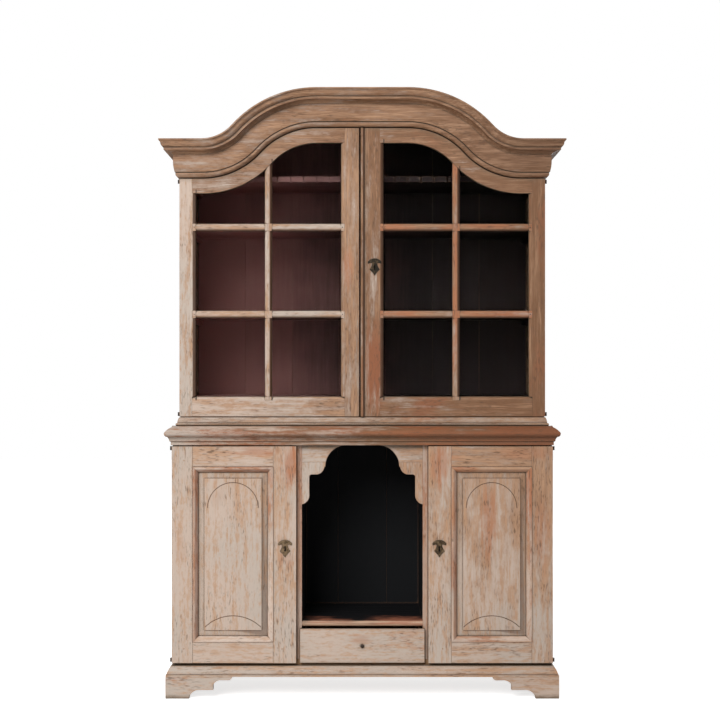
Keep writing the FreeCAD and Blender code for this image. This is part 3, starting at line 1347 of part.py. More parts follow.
def glazing_bars(name, side, arch, stile_in, stile_out, face, rear):
    """An upright with square blocks, and short cross bars between it and the stiles."""
    half = size["bar_width"] / 2
    turn_z = curve_end + curve_radius - (curve_radius + size["arch_rail"]) * cosine(curve_angle)
    middle_x = side * bar_upright
    block_y = (face + size["block_sink"], face + size["glass_seat"])
    corners, rounds = bar_section(middle_x, face, rear)
    stick = moulding_z(name + "_upright_stick", corners, rounds, glass_foot - size["edge_mould"],
                       turn_z + size["bar_width"])
    blocks = {"foot": (glass_foot - size["edge_mould"], glass_foot)}
    for level, middle in (("low", bar_low), ("high", bar_high)):
        blocks[level] = (middle - half, middle + half)
    upright = [cut(name + "_upright_fitted", stick, [arch])]
    upright += [board("{}_block_{}".format(name, level), (middle_x - half, middle_x + half), block_y, z)
                for level, z in blocks.items()]
    bars = [fuse(name + "_upright", upright)]
    spans = {"inner": ((stile_in, size["glass_inner"]), (stile_in, bar_upright - half)),
             "outer": ((glass_outer, stile_out), (bar_upright + half, stile_out))}
    for level, middle in (("low", bar_low), ("high", bar_high)):
        for place, (end, run) in spans.items():
            tag = "{}_{}_{}".format(name, level, place)
            corners, rounds = swap(bar_section(middle, face, rear))
            left, right = ordered((side * run[0], side * run[1]))
            stick = moulding_x(tag + "_stick", corners, rounds, left, right)
            block = board(tag + "_end", (side * end[0], side * end[1]), block_y, blocks[level])
            bars.append(fuse(tag + "_bar", [stick, block]))
    return group(name + "_lattice", bars)


def panes(name, side, face):
    """Six panes, cut from one sheet along the bars' webs."""
    reach = size["glass_rebate"] - size["glass_slip"]
    inner, outer = size["glass_inner"] - reach, glass_outer + reach
    foot = glass_foot - reach
    top, rounds = serpentine(reach - size["arch_rail"], outer, inner, side)
    corners = top + [(side * inner, foot), (side * outer, foot)]
    through = (face + size["glass_seat"], face + size["glass_seat"] + size["glass_thick"])
    sheet_glass = front_plate(name + "_sheet", corners, rounds, through[1], size["glass_thick"])
    web = size["bar_flat"] / 2 + size["glass_slip"] / 2
    middle = side * bar_upright
    webs = [board(name + "_upright_web", (middle - web, middle + web), through, (foot, crown))]
    for level, height in (("low", bar_low), ("high", bar_high)):
        webs.append(board("{}_{}_web".format(name, level), (side * inner, side * outer), through,
                          (height - web, height + web)))
    return cut(name + "_glass", sheet_glass, [fuse(name + "_webs", webs)])


def upper_lock(name, lock_x, meet, face, rear):
    """Lock plate, lock case and bolt of the right upper door."""
    middle = upper_lock_height
    lock_plate(name + "_escutcheon", lock_x, middle, face)
    start = meet + size["lock_clear"]
    plain = board(name + "_lock_block", (start, start + size["upper_lock_width"]),
                  (rear, rear + size["lock_deep"]),
                  (middle - size["lock_tall"] / 2, middle + size["lock_tall"] / 2))
    slot = bolt_box(name + "_lock_slot", 1, start, middle, rear, size["bolt_slip"])
    node(name + "_lock_case", cut(name + "_lock_body", plain, [slot]))
    node(name + "_lock_bolt", bolt_box(name + "_bolt", 1, start, middle, rear, as_size(0)))


def slide_bolt(name, rear):
    """An upright slide bolt in two guides on a back plate."""
    half = size["guide_half"]
    low = upper_floor + size["guide_lift"]
    high = low + size["guide_tall"] + size["guide_gap"]
    x = (slide_x - half, slide_x + half)
    top = high + size["guide_tall"]
    plate = board(name + "_guide_plate", x, (rear, rear + size["guide_plate"]), (low, top))
    depth = size["slide_back"] + size["slide_radius"] * 2
    guides = [board("{}_guide_{}".format(name, level), x, (rear, rear + depth), (z, z + size["guide_tall"]))
              for level, z in (("low", low), ("high", high))]
    reach = top - low
    bore = rod(name + "_guide_bore", size["slide_radius"] + size["pin_slip"], (slide_x, slide_y, low), reach)
    blank = fuse(name + "_guide_blank", [plate] + guides)
    node(name + "_bolt_guide", cut(name + "_guide_bored", blank, [bore]))
    foot = upper_floor + size["slide_rest"]
    stem = rod(name + "_slide_stem", size["slide_radius"], (slide_x, slide_y, foot), size["slide_long"])
    thumb_z = high - size["thumb_radius"] * 2
    thumb = rod(name + "_thumb", size["thumb_radius"], (slide_x, slide_y, thumb_z), size["thumb_long"], "Y")
    node(name + "_slide_bolt", fuse(name + "_slide_whole", [stem, thumb]))


def check_and_write():
    """Stop on any failed object, then write one file for each sub-part."""
    doc.recompute()
    failed = [item.Name for item in doc.Objects if "Invalid" in item.State or "Error" in item.State]
    if failed:
        raise RuntimeError("failed objects: " + ", ".join(failed))
    for label, item in nodes.items():
        if item.Shape.isNull() or not item.Shape.isValid() or not item.Shape.Solids:
            raise RuntimeError("bad shape: " + label)
    os.makedirs("parts", exist_ok=True)
    for label, item in nodes.items():
        item.Shape.exportStep("parts/{}.step".format(label))
        print(label, len(item.Shape.Solids), "solids", round(item.Shape.Volume / 1000), "cm3")


build_plinth()
build_lower_case()
build_upper_case()
build_shelves()
build_drawer()
pintles = lower_door("lower_left_door", -1) + lower_door("lower_right_door", 1)
pintles += upper_door("upper_left_door", -1) + upper_door("upper_right_door", 1)
node("hinge_pintles", group("pintle_set", pintles))
check_and_write()
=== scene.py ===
"""The looks of a scraped pine vitrine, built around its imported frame.

Lengths are in metres, +Z is up, the front faces -Y and +X is the viewer's right.
Wooden pieces are copies of the frame's solids with worn arrises, one stick at a time, so that each stick
has grain along its own length. Locks, bolts, hinges and the drawer's pull keep the frame's own meshes.
Nail heads, pins, pegs, putty and saw cuts are new meshes.
"""

import json
import logging
import math
from collections.abc import Iterable, Iterator, Sequence
from dataclasses import dataclass, replace
from enum import Enum
from functools import cache
from typing import ClassVar

import bmesh
import bpy
from mathutils import Matrix, Vector, noise
from mathutils.bvhtree import BVHTree

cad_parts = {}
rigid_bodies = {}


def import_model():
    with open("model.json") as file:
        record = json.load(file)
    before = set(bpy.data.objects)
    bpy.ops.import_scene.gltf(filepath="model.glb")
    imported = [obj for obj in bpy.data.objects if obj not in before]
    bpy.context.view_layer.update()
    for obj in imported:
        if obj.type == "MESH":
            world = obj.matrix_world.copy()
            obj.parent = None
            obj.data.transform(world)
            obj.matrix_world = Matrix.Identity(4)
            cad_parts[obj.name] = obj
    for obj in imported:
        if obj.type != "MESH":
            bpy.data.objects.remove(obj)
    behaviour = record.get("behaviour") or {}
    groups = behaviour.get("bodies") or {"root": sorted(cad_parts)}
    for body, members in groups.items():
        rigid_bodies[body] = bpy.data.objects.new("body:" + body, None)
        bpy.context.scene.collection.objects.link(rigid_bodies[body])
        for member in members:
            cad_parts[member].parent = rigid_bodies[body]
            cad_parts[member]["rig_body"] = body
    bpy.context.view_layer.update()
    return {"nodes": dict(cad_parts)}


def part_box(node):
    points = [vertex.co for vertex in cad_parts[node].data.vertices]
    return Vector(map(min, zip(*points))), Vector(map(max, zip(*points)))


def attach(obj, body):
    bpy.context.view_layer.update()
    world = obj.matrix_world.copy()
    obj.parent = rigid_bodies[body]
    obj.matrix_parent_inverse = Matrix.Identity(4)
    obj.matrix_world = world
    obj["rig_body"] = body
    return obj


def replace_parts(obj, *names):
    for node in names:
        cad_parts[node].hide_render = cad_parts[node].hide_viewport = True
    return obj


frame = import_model()

log = logging.getLogger("vitrine")

Socket = bpy.types.NodeSocket
Material = bpy.types.Material
Solid = bmesh.types.BMesh
Triple = tuple[float, float, float]
Value = Socket | float | Sequence[float]

MILLIMETRE = 0.001
GOLDEN = 0.618034
SEED = 7
IMAGE_PIXELS = 720
MERGE_DISTANCE = 1e-6
FLAT_ANGLE = math.radians(0.5)
SMOOTH_ANGLE = math.radians(40)
SQUARE_ON = 0.9
STICK_STEP = (17.0, 29.0, 23.0)
EDGE_SAMPLES = 4
WHITE = (1.0, 1.0, 1.0)
FRONT = Vector((0, -1, 0))
REAR = Vector((0, 1, 0))
UP = Vector((0, 0, 1))


class Grain(Enum):
    """Which way the grain of a stick runs."""

    ALONG_X = 0
    ALONG_Y = 1
    ALONG_Z = 2

    def squeeze(self, share: float) -> Vector:
        """Scale that draws a pattern out along the grain.

        Args:
            share: The scale along the grain.

        Returns:
            The scale along each axis.
        """
        scale = Vector((1.0, 1.0, 1.0))
        scale[self.value] = share
        return scale


class Hand(Enum):
    """Which side of the vitrine a door hangs on."""

    LEFT = -1
    RIGHT = 1

    @property
    def word(self) -> str:
        """The side as it stands in the frame's names."""
        return self.name.lower()


@dataclass(frozen=True)
class Figure:
    """A noise pattern, and the share that the grain draws it out by."""

    scale: float
    detail: float = 3.0
    rough: float = 0.55
    draw: float = 1.0


class Tree:
    """A node tree with short words for the nodes that it is made of."""

    def __init__(self, tree: bpy.types.NodeTree) -> None:
        """Empties the tree.

        Args:
            tree: The node tree of a material or a world.
        """
        tree.nodes.clear()
        self.nodes = tree.nodes
        self.links = tree.links

    def put(self, socket: Socket, value: Value) -> None:
        """Links a socket to another one, or sets it to a plain value.

        Args:
            socket: The socket.
            value: Another socket, a number, or a colour or place.
        """
        if isinstance(value, bpy.types.NodeSocket):
            self.links.new(value, socket)
        elif isinstance(value, (int, float)):
            socket.default_value = value
        else:
            wanted = len(socket.default_value)
            socket.default_value = tuple(value)[:wanted] + (1.0,) * (wanted - len(value))

    def node(self, kind: str, inputs: dict[str | int, Value], **settings: object) -> bpy.types.ShaderNode:
        """Adds a node.

        Args:
            kind: The node's type, without its common start.
            inputs: Values or sockets for its inputs, by name or number.
            settings: Its own properties.

        Returns:
            The new node.
        """
        made = self.nodes.new("ShaderNode" + kind)
        for key, value in settings.items():
            setattr(made, key, value)
        for key, value in inputs.items():
            self.put(made.inputs[key], value)
        return made

    def work(self, operation: str, first: Value, second: Value = 0.0) -> Socket:
        """Arithmetic on one or two numbers."""
        return self.node("Math", {0: first, 1: second}, operation=operation).outputs[0]

    def fade(self, value: Socket, low: float, high: float, first: float = 0.0, last: float = 1.0) -> Socket:
        """Soft step from first to last as a value goes from low to high."""
        inputs = {"Value": value, "From Min": low, "From Max": high, "To Min": first, "To Max": last}
        return self.node("MapRange", inputs, interpolation_type="SMOOTHSTEP").outputs[0]


class Sheet(Tree):
    """A material whose one shader goes to its output."""

    def __init__(self, name: str) -> None:
        """Starts the material.

        Args:
            name: Name of the material.
        """
        self.material = bpy.data.materials.new(name)
        self.material.use_nodes = True
        super().__init__(self.material.node_tree)
        self.shader = self.node("BsdfPrincipled", {})
        self.node("OutputMaterial", {"Surface": self.shader.outputs["BSDF"]})
        self.place = self.node("TexCoord", {}).outputs["Object"]

    def stretched(self, vector: Socket, grain: Grain, share: float) -> Socket:
        """Draws a place out along the grain."""
        return self.node("Mapping", {"Vector": vector, "Scale": grain.squeeze(share)}).outputs["Vector"]

    def noise(self, vector: Socket, figure: Figure, grain: Grain | None = None) -> Socket:
        """Soft noise, about 0.5 in the middle.

        Args:
            vector: The place that it reads.
            figure: The pattern.
            grain: The way that it is drawn out, or None where it isn't.

        Returns:
            The noise.
        """
        if grain:
            vector = self.stretched(vector, grain, figure.draw)
        inputs = {"Vector": vector, "Scale": figure.scale, "Detail": figure.detail, "Roughness": figure.rough}
        return self.node("TexNoise", inputs).outputs[0]

    def total(self, *shares: tuple[Socket, float]) -> Socket:
        """Adds numbers, each times its own weight.

        Args:
            shares: Pairs of a number and its weight.

        Returns:
            The sum.
        """
        whole = self.times(*shares[0])
        for value, weight in shares[1:]:
            whole = self.node("Math", {0: value, 1: weight, 2: whole}, operation="MULTIPLY_ADD").outputs[0]
        return whole

    def blend(self, first: Value, second: Value, share: Value) -> Socket:
        """Mixes two colours."""
        return self.node("Mix", {0: share, 6: first, 7: second}, data_type="RGBA").outputs[2]

    def veil(self, colour: Value, other: Value, value: Socket, *ramp: float) -> Socket:
        """Mixes another colour in by a soft step of a value."""
        return self.blend(colour, other, self.fade(value, *ramp))

    def times(self, first: Value, second: Value) -> Socket:
        """The product of two numbers."""
        return self.work("MULTIPLY", first, second)

    def most(self, first: Value, second: Value) -> Socket:
        """The larger of two numbers."""
        return self.work("MAXIMUM", first, second)

    def along(self, axis: str) -> Socket:
        """Place on the piece along one of its axes."""
        return self.node("SeparateXYZ", {0: self.place}).outputs[axis]

    def vector(self, operation: str, first: Value, second: Value) -> Socket:
        """Arithmetic on two places."""
        return self.node("VectorMath", {0: first, 1: second}, operation=operation).outputs[0]

    def stick(self) -> Socket:
        """A number from 0 to 1 that differs from stick to stick."""
        return self.node("Attribute", {}, attribute_name="stick").outputs["Fac"]

    def seat(self) -> Socket:
        """Place on the piece, moved apart from stick to stick."""
        apart = self.node("VectorMath", {0: STICK_STEP, "Scale": self.stick()}, operation="SCALE")
        return self.vector("ADD", self.place, apart.outputs[0])

    def facing(self, axis: str) -> Socket:
        """How far the surface faces along one of the piece's axes, from -1 to 1."""
        normal = self.node("TexCoord", {}).outputs["Normal"]
        return self.node("SeparateXYZ", {0: normal}).outputs[axis]

    def arris(self, radius: float) -> Socket:
        """How much an outer or inner edge bends the surface nearby.

        Args:
            radius: How near the edge has to be.

        Returns:
            0 away from edges and about 0.3 on a square one.
        """
        rounded = self.node("Bevel", {"Radius": radius}, samples=EDGE_SAMPLES).outputs[0]
        flat = self.node("NewGeometry", {}).outputs["Normal"]
        likeness = self.node("VectorMath", {0: rounded, 1: flat}, operation="DOT_PRODUCT").outputs["Value"]
        return self.work("SUBTRACT", 1.0, likeness)

    def open_air(self, distance: float) -> Socket:
        """About 1 in the open and 0 deep in a corner."""
        return self.node("AmbientOcclusion", {"Distance": distance}, samples=EDGE_SAMPLES).outputs["AO"]

    def bump(self, height: Socket, distance: float, strength: float = 1.0) -> None:
        """Gives the shader a bump of that height in metres."""
        inputs = {"Height": height, "Distance": distance, "Strength": strength}
        self.put(self.shader.inputs["Normal"], self.node("Bump", inputs).outputs[0])

    def dress(self, colour: Value, roughness: Value, **others: Value) -> Material:
        """Fills the shader's main sockets.

        Args:
            colour: Base colour.
            roughness: Roughness.
            others: Other sockets, with underscores for the spaces in their names.

        Returns:
            The finished material.
        """
        self.put(self.shader.inputs["Base Color"], colour)
        self.put(self.shader.inputs["Roughness"], roughness)
        for name, value in others.items():
            self.put(self.shader.inputs[name.replace("_", " ")], value)
        return self.material


BROAD = Figure(2.4, 2.0)
PATCH = Figure(17.0, 4.0, 0.62, 0.3)
STREAK = Figure(62.0, 5.0, 0.62, 0.075)
FIBRE = Figure(340.0, 3.0, 0.6, 0.035)
MOTTLE = Figure(90.0, 4.0, 0.66, 0.35)
TICK = Figure(220.0, 2.0, 0.5, 0.18)
BRUSH = Figure(120.0, 3.0, 0.55, 0.05)
LINING_CLOUD = Figure(3.5, 4.0, 0.6)
BAND = Figure(26.0, 5.0, 0.65, 0.04)
RAW_FIBRE = Figure(300.0, 3.0, 0.6, 0.03)
RAW_CLOUD = Figure(5.0)
GLASS_WAVE = Figure(9.0, 2.0, draw=0.4)
HAMMER = Figure(190.0, 2.0)
PIT = Figure(520.0, 4.0, 0.65)
BRASS_CLOUD = Figure(70.0, 4.0, 0.6)
GRIT = Figure(600.0, 3.0, 0.6)
PUTTY_CLOUD = Figure(40.0, 4.0, 0.6)
FLOOR_CLOUD = Figure(0.6, 2.0)


@dataclass(frozen=True)
class Rub:
    """A soft-edged spot on the front where the paint has gone and the wood is red."""

    x: float
    z: float
    half_wide: float
    half_tall: float
    strength: float = 0.7

    def share(self, sheet: Sheet, waver: Socket) -> Socket:
        """How bare and red the spot is, from 0 to its strength.

        Args:
            sheet: The material in the making.
            waver: A noise from 0 to 1 that breaks the spot's edge.

        Returns:
            The share of red wood.
        """
        squares = []
        for axis, middle, half in (("X", self.x, self.half_wide), ("Z", self.z, self.half_tall)):
            away = sheet.work("DIVIDE", sheet.work("SUBTRACT", sheet.along(axis), middle), half)
            squares.append((sheet.times(away, away), 1.0))
        off = sheet.work("SQRT", sheet.total(*squares))
        return sheet.fade(sheet.total((off, 1.0), (waver, -2.2)), -0.75, 0.25, self.strength, 0.0)


@dataclass(frozen=True)
class PaintedPine:
    """Old pale distemper, scraped back along the grain to the pine."""

    name: str
    wear: float = 0.35
    blush: float = 0.12
    paint: Triple = (0.63, 0.495, 0.405)
    cool_paint: Triple = (0.58, 0.485, 0.41)
    light_wood: Triple = (0.55, 0.325, 0.195)
    dark_wood: Triple = (0.22, 0.105, 0.05)
    red_wood: Triple = (0.45, 0.16, 0.072)
    fleck: Triple = (0.12, 0.068, 0.04)
    # Colour of the dark lines in creases and joints, which are dirty and also painted shade.
    dirt_and_crease_shade: Triple = (0.055, 0.03, 0.018)
    # Colour of the stains round inner corners, which also stand for painted shade there.
    stain_and_shade: Triple = (0.2, 0.145, 0.095)
    # Colour of painted shade: on faces turned to the right and down, and towards the right, where it also
    # stands for grimy darkening.
    shade: Triple = (0.09, 0.042, 0.023)
    drift_right: float = 0.16
    drift_up: float = 0.10
    middle_height: float = 1.0
    rub: float = 0.004
    tone: float = 0.5
    tone_half: float = 0.16
    bare_middle: float = 1.365
    bare_half: float = 0.28
    # Strength and span of painted shade on faces turned to the right, and how much faces turned down add to
    # it.
    painted_lee_shade: float = 0.25
    painted_lee_span: tuple[float, float] = (0.08, 0.3)
    under: float = 0.8
    # How far the stains and painted shade reach out of corners, and the dirty lines and painted shade out of
    # creases.
    stain_and_shade_reach: float = 0.02
    dirt_and_crease_shade_reach: float = 0.006
    # Strength of the painted shade and grimy darkening towards the right, and where it is full.
    right_shade_and_grime: float = 0.14
    right_shade_and_grime_end: float = 0.7
    rubs: tuple[Rub, ...] = ()

    def material(self, grain: Grain) -> Material:
        """Makes the finish for sticks whose grain runs one way.

        Args:
            grain: The way of the grain.

        Returns:
            The material.
        """
        sheet = Sheet("{}_{}".format(self.name, grain.name.lower()))
        seat = sheet.seat()
        broad = sheet.noise(seat, BROAD)
        patch, streak, fibre, mottle, tick = (sheet.noise(seat, figure, grain)
                                              for figure in (PATCH, STREAK, FIBRE, MOTTLE, TICK))
        rubbed = self.rubbed(sheet, streak)
        figured = sheet.total((streak, 0.55), (fibre, 0.45))
        wood = sheet.veil(self.dark_wood, self.light_wood, figured, self.tone - self.tone_half,
                          self.tone + self.tone_half)
        redness = sheet.fade(sheet.total((broad, 0.5), (patch, 0.5)), 0.62 - 0.3 * self.blush,
                             0.74 - 0.3 * self.blush)
        redness = sheet.most(sheet.times(redness, 0.75), rubbed)
        wood = sheet.blend(wood, self.red_wood, redness)
        paint = sheet.veil(self.paint, self.cool_paint, broad, 0.4, 0.6)
        haze = sheet.fade(sheet.total((mottle, 0.5), (streak, 0.5)), 0.48, 0.6, 0.0, 0.6)
        paint = sheet.blend(paint, self.light_wood, haze)
        bare = self.bareness(sheet, patch, streak, mottle, fibre)
        edge = sheet.fade(sheet.arris(self.rub), 0.015, 0.16)
        edge = sheet.times(edge, sheet.fade(patch, 0.36, 0.56, 0.3, 0.95))
        bare = sheet.most(sheet.most(bare, edge), rubbed)
        flecks = sheet.times(sheet.fade(tick, 0.54, 0.68), sheet.fade(bare, 0.0, 1.0, 0.55, 0.7))
        flecks = sheet.times(flecks, sheet.fade(patch, 0.44, 0.6, 0.15, 1.0))
        colour = sheet.blend(sheet.blend(paint, wood, bare), self.fleck, flecks)
        colour = sheet.blend(colour, self.fleck, sheet.times(self.knots(sheet, seat, grain), 0.8))
        sheet.bump(sheet.total((fibre, 0.35), (streak, 0.25), (tick, -0.2), (bare, -0.35)), 0.0006, 0.7)
        return sheet.dress(self.soiled_and_shaded(sheet, colour, mottle), sheet.fade(bare, 0.0, 1.0, 0.72, 0.6),
                           Specular_IOR_Level=0.3)

    def bareness(self, sheet: Sheet, patch: Socket, streak: Socket, mottle: Socket, fibre: Socket) -> Socket:
        """How much of the paint is gone, from 0 to 1.

        Args:
            sheet: The material in the making.
            patch: Broad patches along the grain.
            streak: Streaks along the grain.
            mottle: Small spots.
            fibre: Fine lines along the grain.

        Returns:
            The share of bare wood, which grows to the right and upwards.
        """
        height = sheet.work("SUBTRACT", sheet.along("Z"), self.middle_height)
        cover = sheet.total((patch, 0.8), (streak, 0.9), (mottle, 0.45), (fibre, 0.5), (sheet.stick(), 0.08),
                            (sheet.along("X"), self.drift_right), (height, self.drift_up))
        middle = self.bare_middle + 0.45 * (0.5 - self.wear)
        return sheet.fade(cover, middle - self.bare_half, middle + self.bare_half)

    def soiled_and_shaded(self, sheet: Sheet, colour: Socket, mottle: Socket) -> Socket:
        """Adds stains and painted shade round corners, painted shade and grimy darkening towards the right,
        painted shade on faces turned to the right and down, and dark dirty lines with painted shade in
        creases.

        Args:
            sheet: The material in the making.
            colour: The colour before stains, soiling and painted shade.
            mottle: Small spots.

        Returns:
            The colour with stains, soiling and painted shade.
        """
        # Stains and painted shade where there is little open air, round inner corners.
        air = sheet.total((sheet.open_air(self.stain_and_shade_reach), 1.0), (mottle, 0.6))
        colour = sheet.veil(colour, self.stain_and_shade, air, 0.9, 1.27, 0.9, 0.0)
        # Painted shade and grimy darkening towards the right.
        colour = sheet.veil(colour, self.shade, sheet.along("X"), 0.0, self.right_shade_and_grime_end, 0.0, self.right_shade_and_grime)
        # Painted shade on faces turned to the right and down.
        away = sheet.total((sheet.facing("X"), 1.0), (sheet.facing("Z"), -self.under))
        colour = sheet.veil(colour, self.shade, away, *self.painted_lee_span, 0.0, self.painted_lee_shade)
        # Dark dirty lines and painted shade deep in creases and joints.
        return sheet.veil(colour, self.dirt_and_crease_shade, sheet.open_air(self.dirt_and_crease_shade_reach), 0.5, 0.93, 0.95, 0.0)

    def rubbed(self, sheet: Sheet, waver: Socket) -> Socket:
        """The largest share of red wood that any of the rubs gives.

        Args:
            sheet: The material in the making.
            waver: A noise from 0 to 1 that breaks the edges of the rubs.

        Returns:
            The share, from 0 to 1.
        """
        most = sheet.times(waver, 0.0)
        for rub in self.rubs:
            most = sheet.most(most, rub.share(sheet, waver))
        return most

    @staticmethod
    def knots(sheet: Sheet, seat: Socket, grain: Grain) -> Socket:
        """Few small dark knots, drawn out a little along the grain.

        Args:
            sheet: The material in the making.
            seat: Place on the stick.
            grain: The way of the grain.

        Returns:
            About 1 on a knot and 0 elsewhere.
        """
        cells = sheet.node("TexVoronoi", {"Vector": sheet.stretched(seat, grain, 0.55), "Scale": 4.2})
        chance = sheet.node("SeparateColor", {0: cells.outputs["Color"]}).outputs[0]
        few = sheet.fade(chance, 0.72, 0.74)
        return sheet.times(sheet.fade(cells.outputs["Distance"], 0.012, 0.03, 1.0, 0.0), few)


@dataclass(frozen=True)
class RedLining:
    """Red-brown oil paint inside the cases, paler on one side and darker on the other: partly unevenly aged
    paint and partly painted light and shade.
    """

    name: str
    # Colours of the paler, lit side and the darker, shaded side; the change is partly painted light and
    # shade.
    faded_and_lit: Triple = (0.44, 0.195, 0.175)
    sooty_and_shaded: Triple = (0.032, 0.018, 0.017)
    wood: Triple = (0.33, 0.16, 0.085)
    bright_side: float = -0.56
    dark_side: float = 0.22
    noise_middle: float = 0.33
    raw_rear: bool = False
    across: float = 1.0
    inward: float = 0.0
    bare_front: float = 0.0

    def material(self, grain: Grain) -> Material:
        """Makes the finish for boards whose grain runs one way.

        Args:
            grain: The way of the grain.

        Returns:
            The material.
        """
        sheet = Sheet("{}_{}".format(self.name, grain.name.lower()))
        seat = sheet.seat()
        brush = sheet.noise(seat, BRUSH, grain)
        cloud = sheet.noise(seat, LINING_CLOUD)
        # How far the lining has turned from its pale, lit colour to its dark, shaded colour: partly aged
        # paint and partly painted light and shade.
        side = sheet.total((sheet.along("X"), self.across), (sheet.along("Y"), self.inward), (cloud, 0.5),
                           (brush, 0.16))
        soot_and_shade = sheet.fade(side, self.bright_side + self.noise_middle, self.dark_side + self.noise_middle)
        colour = sheet.blend(self.faded_and_lit, self.sooty_and_shaded, soot_and_shade)
        scuff = sheet.times(sheet.fade(sheet.arris(0.003), 0.02, 0.2),
                           sheet.fade(cloud, 0.42, 0.6, 0.1, 0.9))
        colour = sheet.blend(colour, self.wood, scuff)
        front = sheet.times(sheet.fade(sheet.facing("Y"), -0.6, -0.3, self.bare_front, 0.0),
                           sheet.fade(brush, 0.36, 0.56, 0.25, 1.0))
        colour = sheet.blend(colour, self.wood, front)
        if self.raw_rear:
            colour = sheet.veil(colour, RAW.colour(sheet, seat, grain), sheet.facing("Y"), 0.3, 0.6)
        sheet.bump(sheet.total((brush, 0.6), (cloud, 0.4)), 0.0004, 0.6)
        return sheet.dress(colour, sheet.fade(brush, 0.3, 0.7, 0.5, 0.68), Specular_IOR_Level=0.3)


@dataclass(frozen=True)
class RawPine:
    """Pine that was never painted, browned and dusty."""

    name: str
    light: Triple = (0.40, 0.245, 0.135)
    dark: Triple = (0.235, 0.125, 0.062)
    dust: Triple = (0.30, 0.235, 0.175)
    ring: Triple = (0.14, 0.07, 0.035)
    lined_and_shaded_half: float = 0.0

    def colour(self, sheet: Sheet, seat: Socket, grain: Grain) -> Socket:
        """The colour of the bare boards.

        Args:
            sheet: The material in the making.
            seat: Place on the stick.
            grain: The way of the grain.

        Returns:
            The colour.
        """
        band = sheet.noise(seat, BAND, grain)
        fibre = sheet.noise(seat, RAW_FIBRE, grain)
        figured = sheet.total((band, 0.6), (fibre, 0.4))
        colour = sheet.veil(self.dark, self.light, figured, 0.38, 0.62)
        colour = sheet.veil(colour, self.ring, band, 0.56, 0.66, 0.0, 0.5)
        colour = sheet.blend(colour, self.ring, PaintedPine.knots(sheet, seat, grain))
        colour = sheet.veil(colour, self.dust, sheet.noise(seat, RAW_CLOUD), 0.45, 0.62, 0.0, 0.55)
        # Between the niche's sides the boards' fronts take the niche's very dark colour: dark paint and
        # painted shade.
        if self.lined_and_shaded_half:
            between = sheet.work("LESS_THAN", sheet.work("ABSOLUTE", sheet.along("X")), self.lined_and_shaded_half)
            front = sheet.fade(sheet.facing("Y"), -0.6, -0.3, 1.0, 0.0)
            colour = sheet.blend(colour, NICHE_LINING_AND_SHADE.sooty_and_shaded, sheet.times(between, front))
        # Darker deep in corners: grimy darkening and painted shade.
        grime_and_corner_shade = sheet.fade(sheet.open_air(0.012), 0.25, 0.7, 0.7, 0.0)
        sheet.bump(sheet.total((fibre, 0.6), (band, 0.4)), 0.0007, 0.8)
        return sheet.blend(colour, self.ring, grime_and_corner_shade)

    def material(self, grain: Grain) -> Material:
        """Makes the finish for boards whose grain runs one way."""
        sheet = Sheet("{}_{}".format(self.name, grain.name.lower()))
        return sheet.dress(self.colour(sheet, sheet.seat(), grain), 0.78, Specular_IOR_Level=0.25)


@dataclass(frozen=True)
class OldGlass:
    """Thin blown window glass with slow waves."""

    name: str
    tint: Triple = (0.97, 0.985, 0.98)

    def material(self, grain: Grain) -> Material:
        """Makes the glass.

        Args:
            grain: The way that its waves are drawn out.

        Returns:
            The material.
        """
        sheet = Sheet(self.name)
        sheet.bump(sheet.noise(sheet.seat(), GLASS_WAVE, grain), 0.0008, 0.3)
        return sheet.dress(self.tint, 0.02, Transmission_Weight=1.0, IOR=1.45, Specular_IOR_Level=0.3)


@dataclass(frozen=True)
class ForgedIron:
    """Blackened hand-forged iron with brown rust in its pits."""

    name: str
    scale: Triple = (0.045, 0.04, 0.037)
    rubbed: Triple = (0.16, 0.145, 0.13)
    rust: Triple = (0.115, 0.05, 0.025)

    def material(self, _: Grain) -> Material:
        """Makes the iron.

        Args:
            _: Not used, because iron has no grain.

        Returns:
            The material.
        """
        sheet = Sheet(self.name)
        hammer = sheet.noise(sheet.place, HAMMER)
        pit = sheet.noise(sheet.place, PIT)
        colour = sheet.veil(self.scale, self.rust, pit, 0.48, 0.62, 0.0, 0.8)
        colour = sheet.veil(colour, self.rubbed, sheet.arris(0.0012), 0.03, 0.25, 0.0, 0.8)
        sheet.bump(sheet.total((hammer, 0.7), (pit, 0.3)), 0.0005, 0.8)
        return sheet.dress(colour, sheet.fade(pit, 0.35, 0.65, 0.42, 0.7), Metallic=0.85)


@dataclass(frozen=True)
class TarnishedBrass:
    """Sheet brass, browned and darkened in patches, with painted shade along its edges."""

    name: str
    bright: Triple = (0.30, 0.205, 0.12)
    brown: Triple = (0.115, 0.076, 0.044)
    black_tarnish_and_edge_shade: Triple = (0.028, 0.024, 0.018)
    tarnish: float = 0.4

    def material(self, _: Grain) -> Material:
        """Makes the brass.

        Args:
            _: Not used, because brass has no grain.

        Returns:
            The material.
        """
        sheet = Sheet(self.name)
        grit = sheet.noise(sheet.place, GRIT)
        tone = sheet.total((sheet.noise(sheet.place, BRASS_CLOUD), 0.7), (grit, 0.3))
        low = 0.62 - 0.4 * self.tarnish
        colour = sheet.veil(self.bright, self.brown, tone, low - 0.12, low + 0.06)
        colour = sheet.veil(colour, self.black_tarnish_and_edge_shade, tone, low + 0.02, low + 0.2)
        # Painted shade along the plate's edges.
        colour = sheet.veil(colour, self.black_tarnish_and_edge_shade, sheet.arris(0.0025), 0.02, 0.2, 0.0, 0.9)
        sheet.bump(tone, 0.0003, 0.6)
        return sheet.dress(colour, sheet.fade(tone, 0.35, 0.65, 0.36, 0.62), Metallic=0.9)


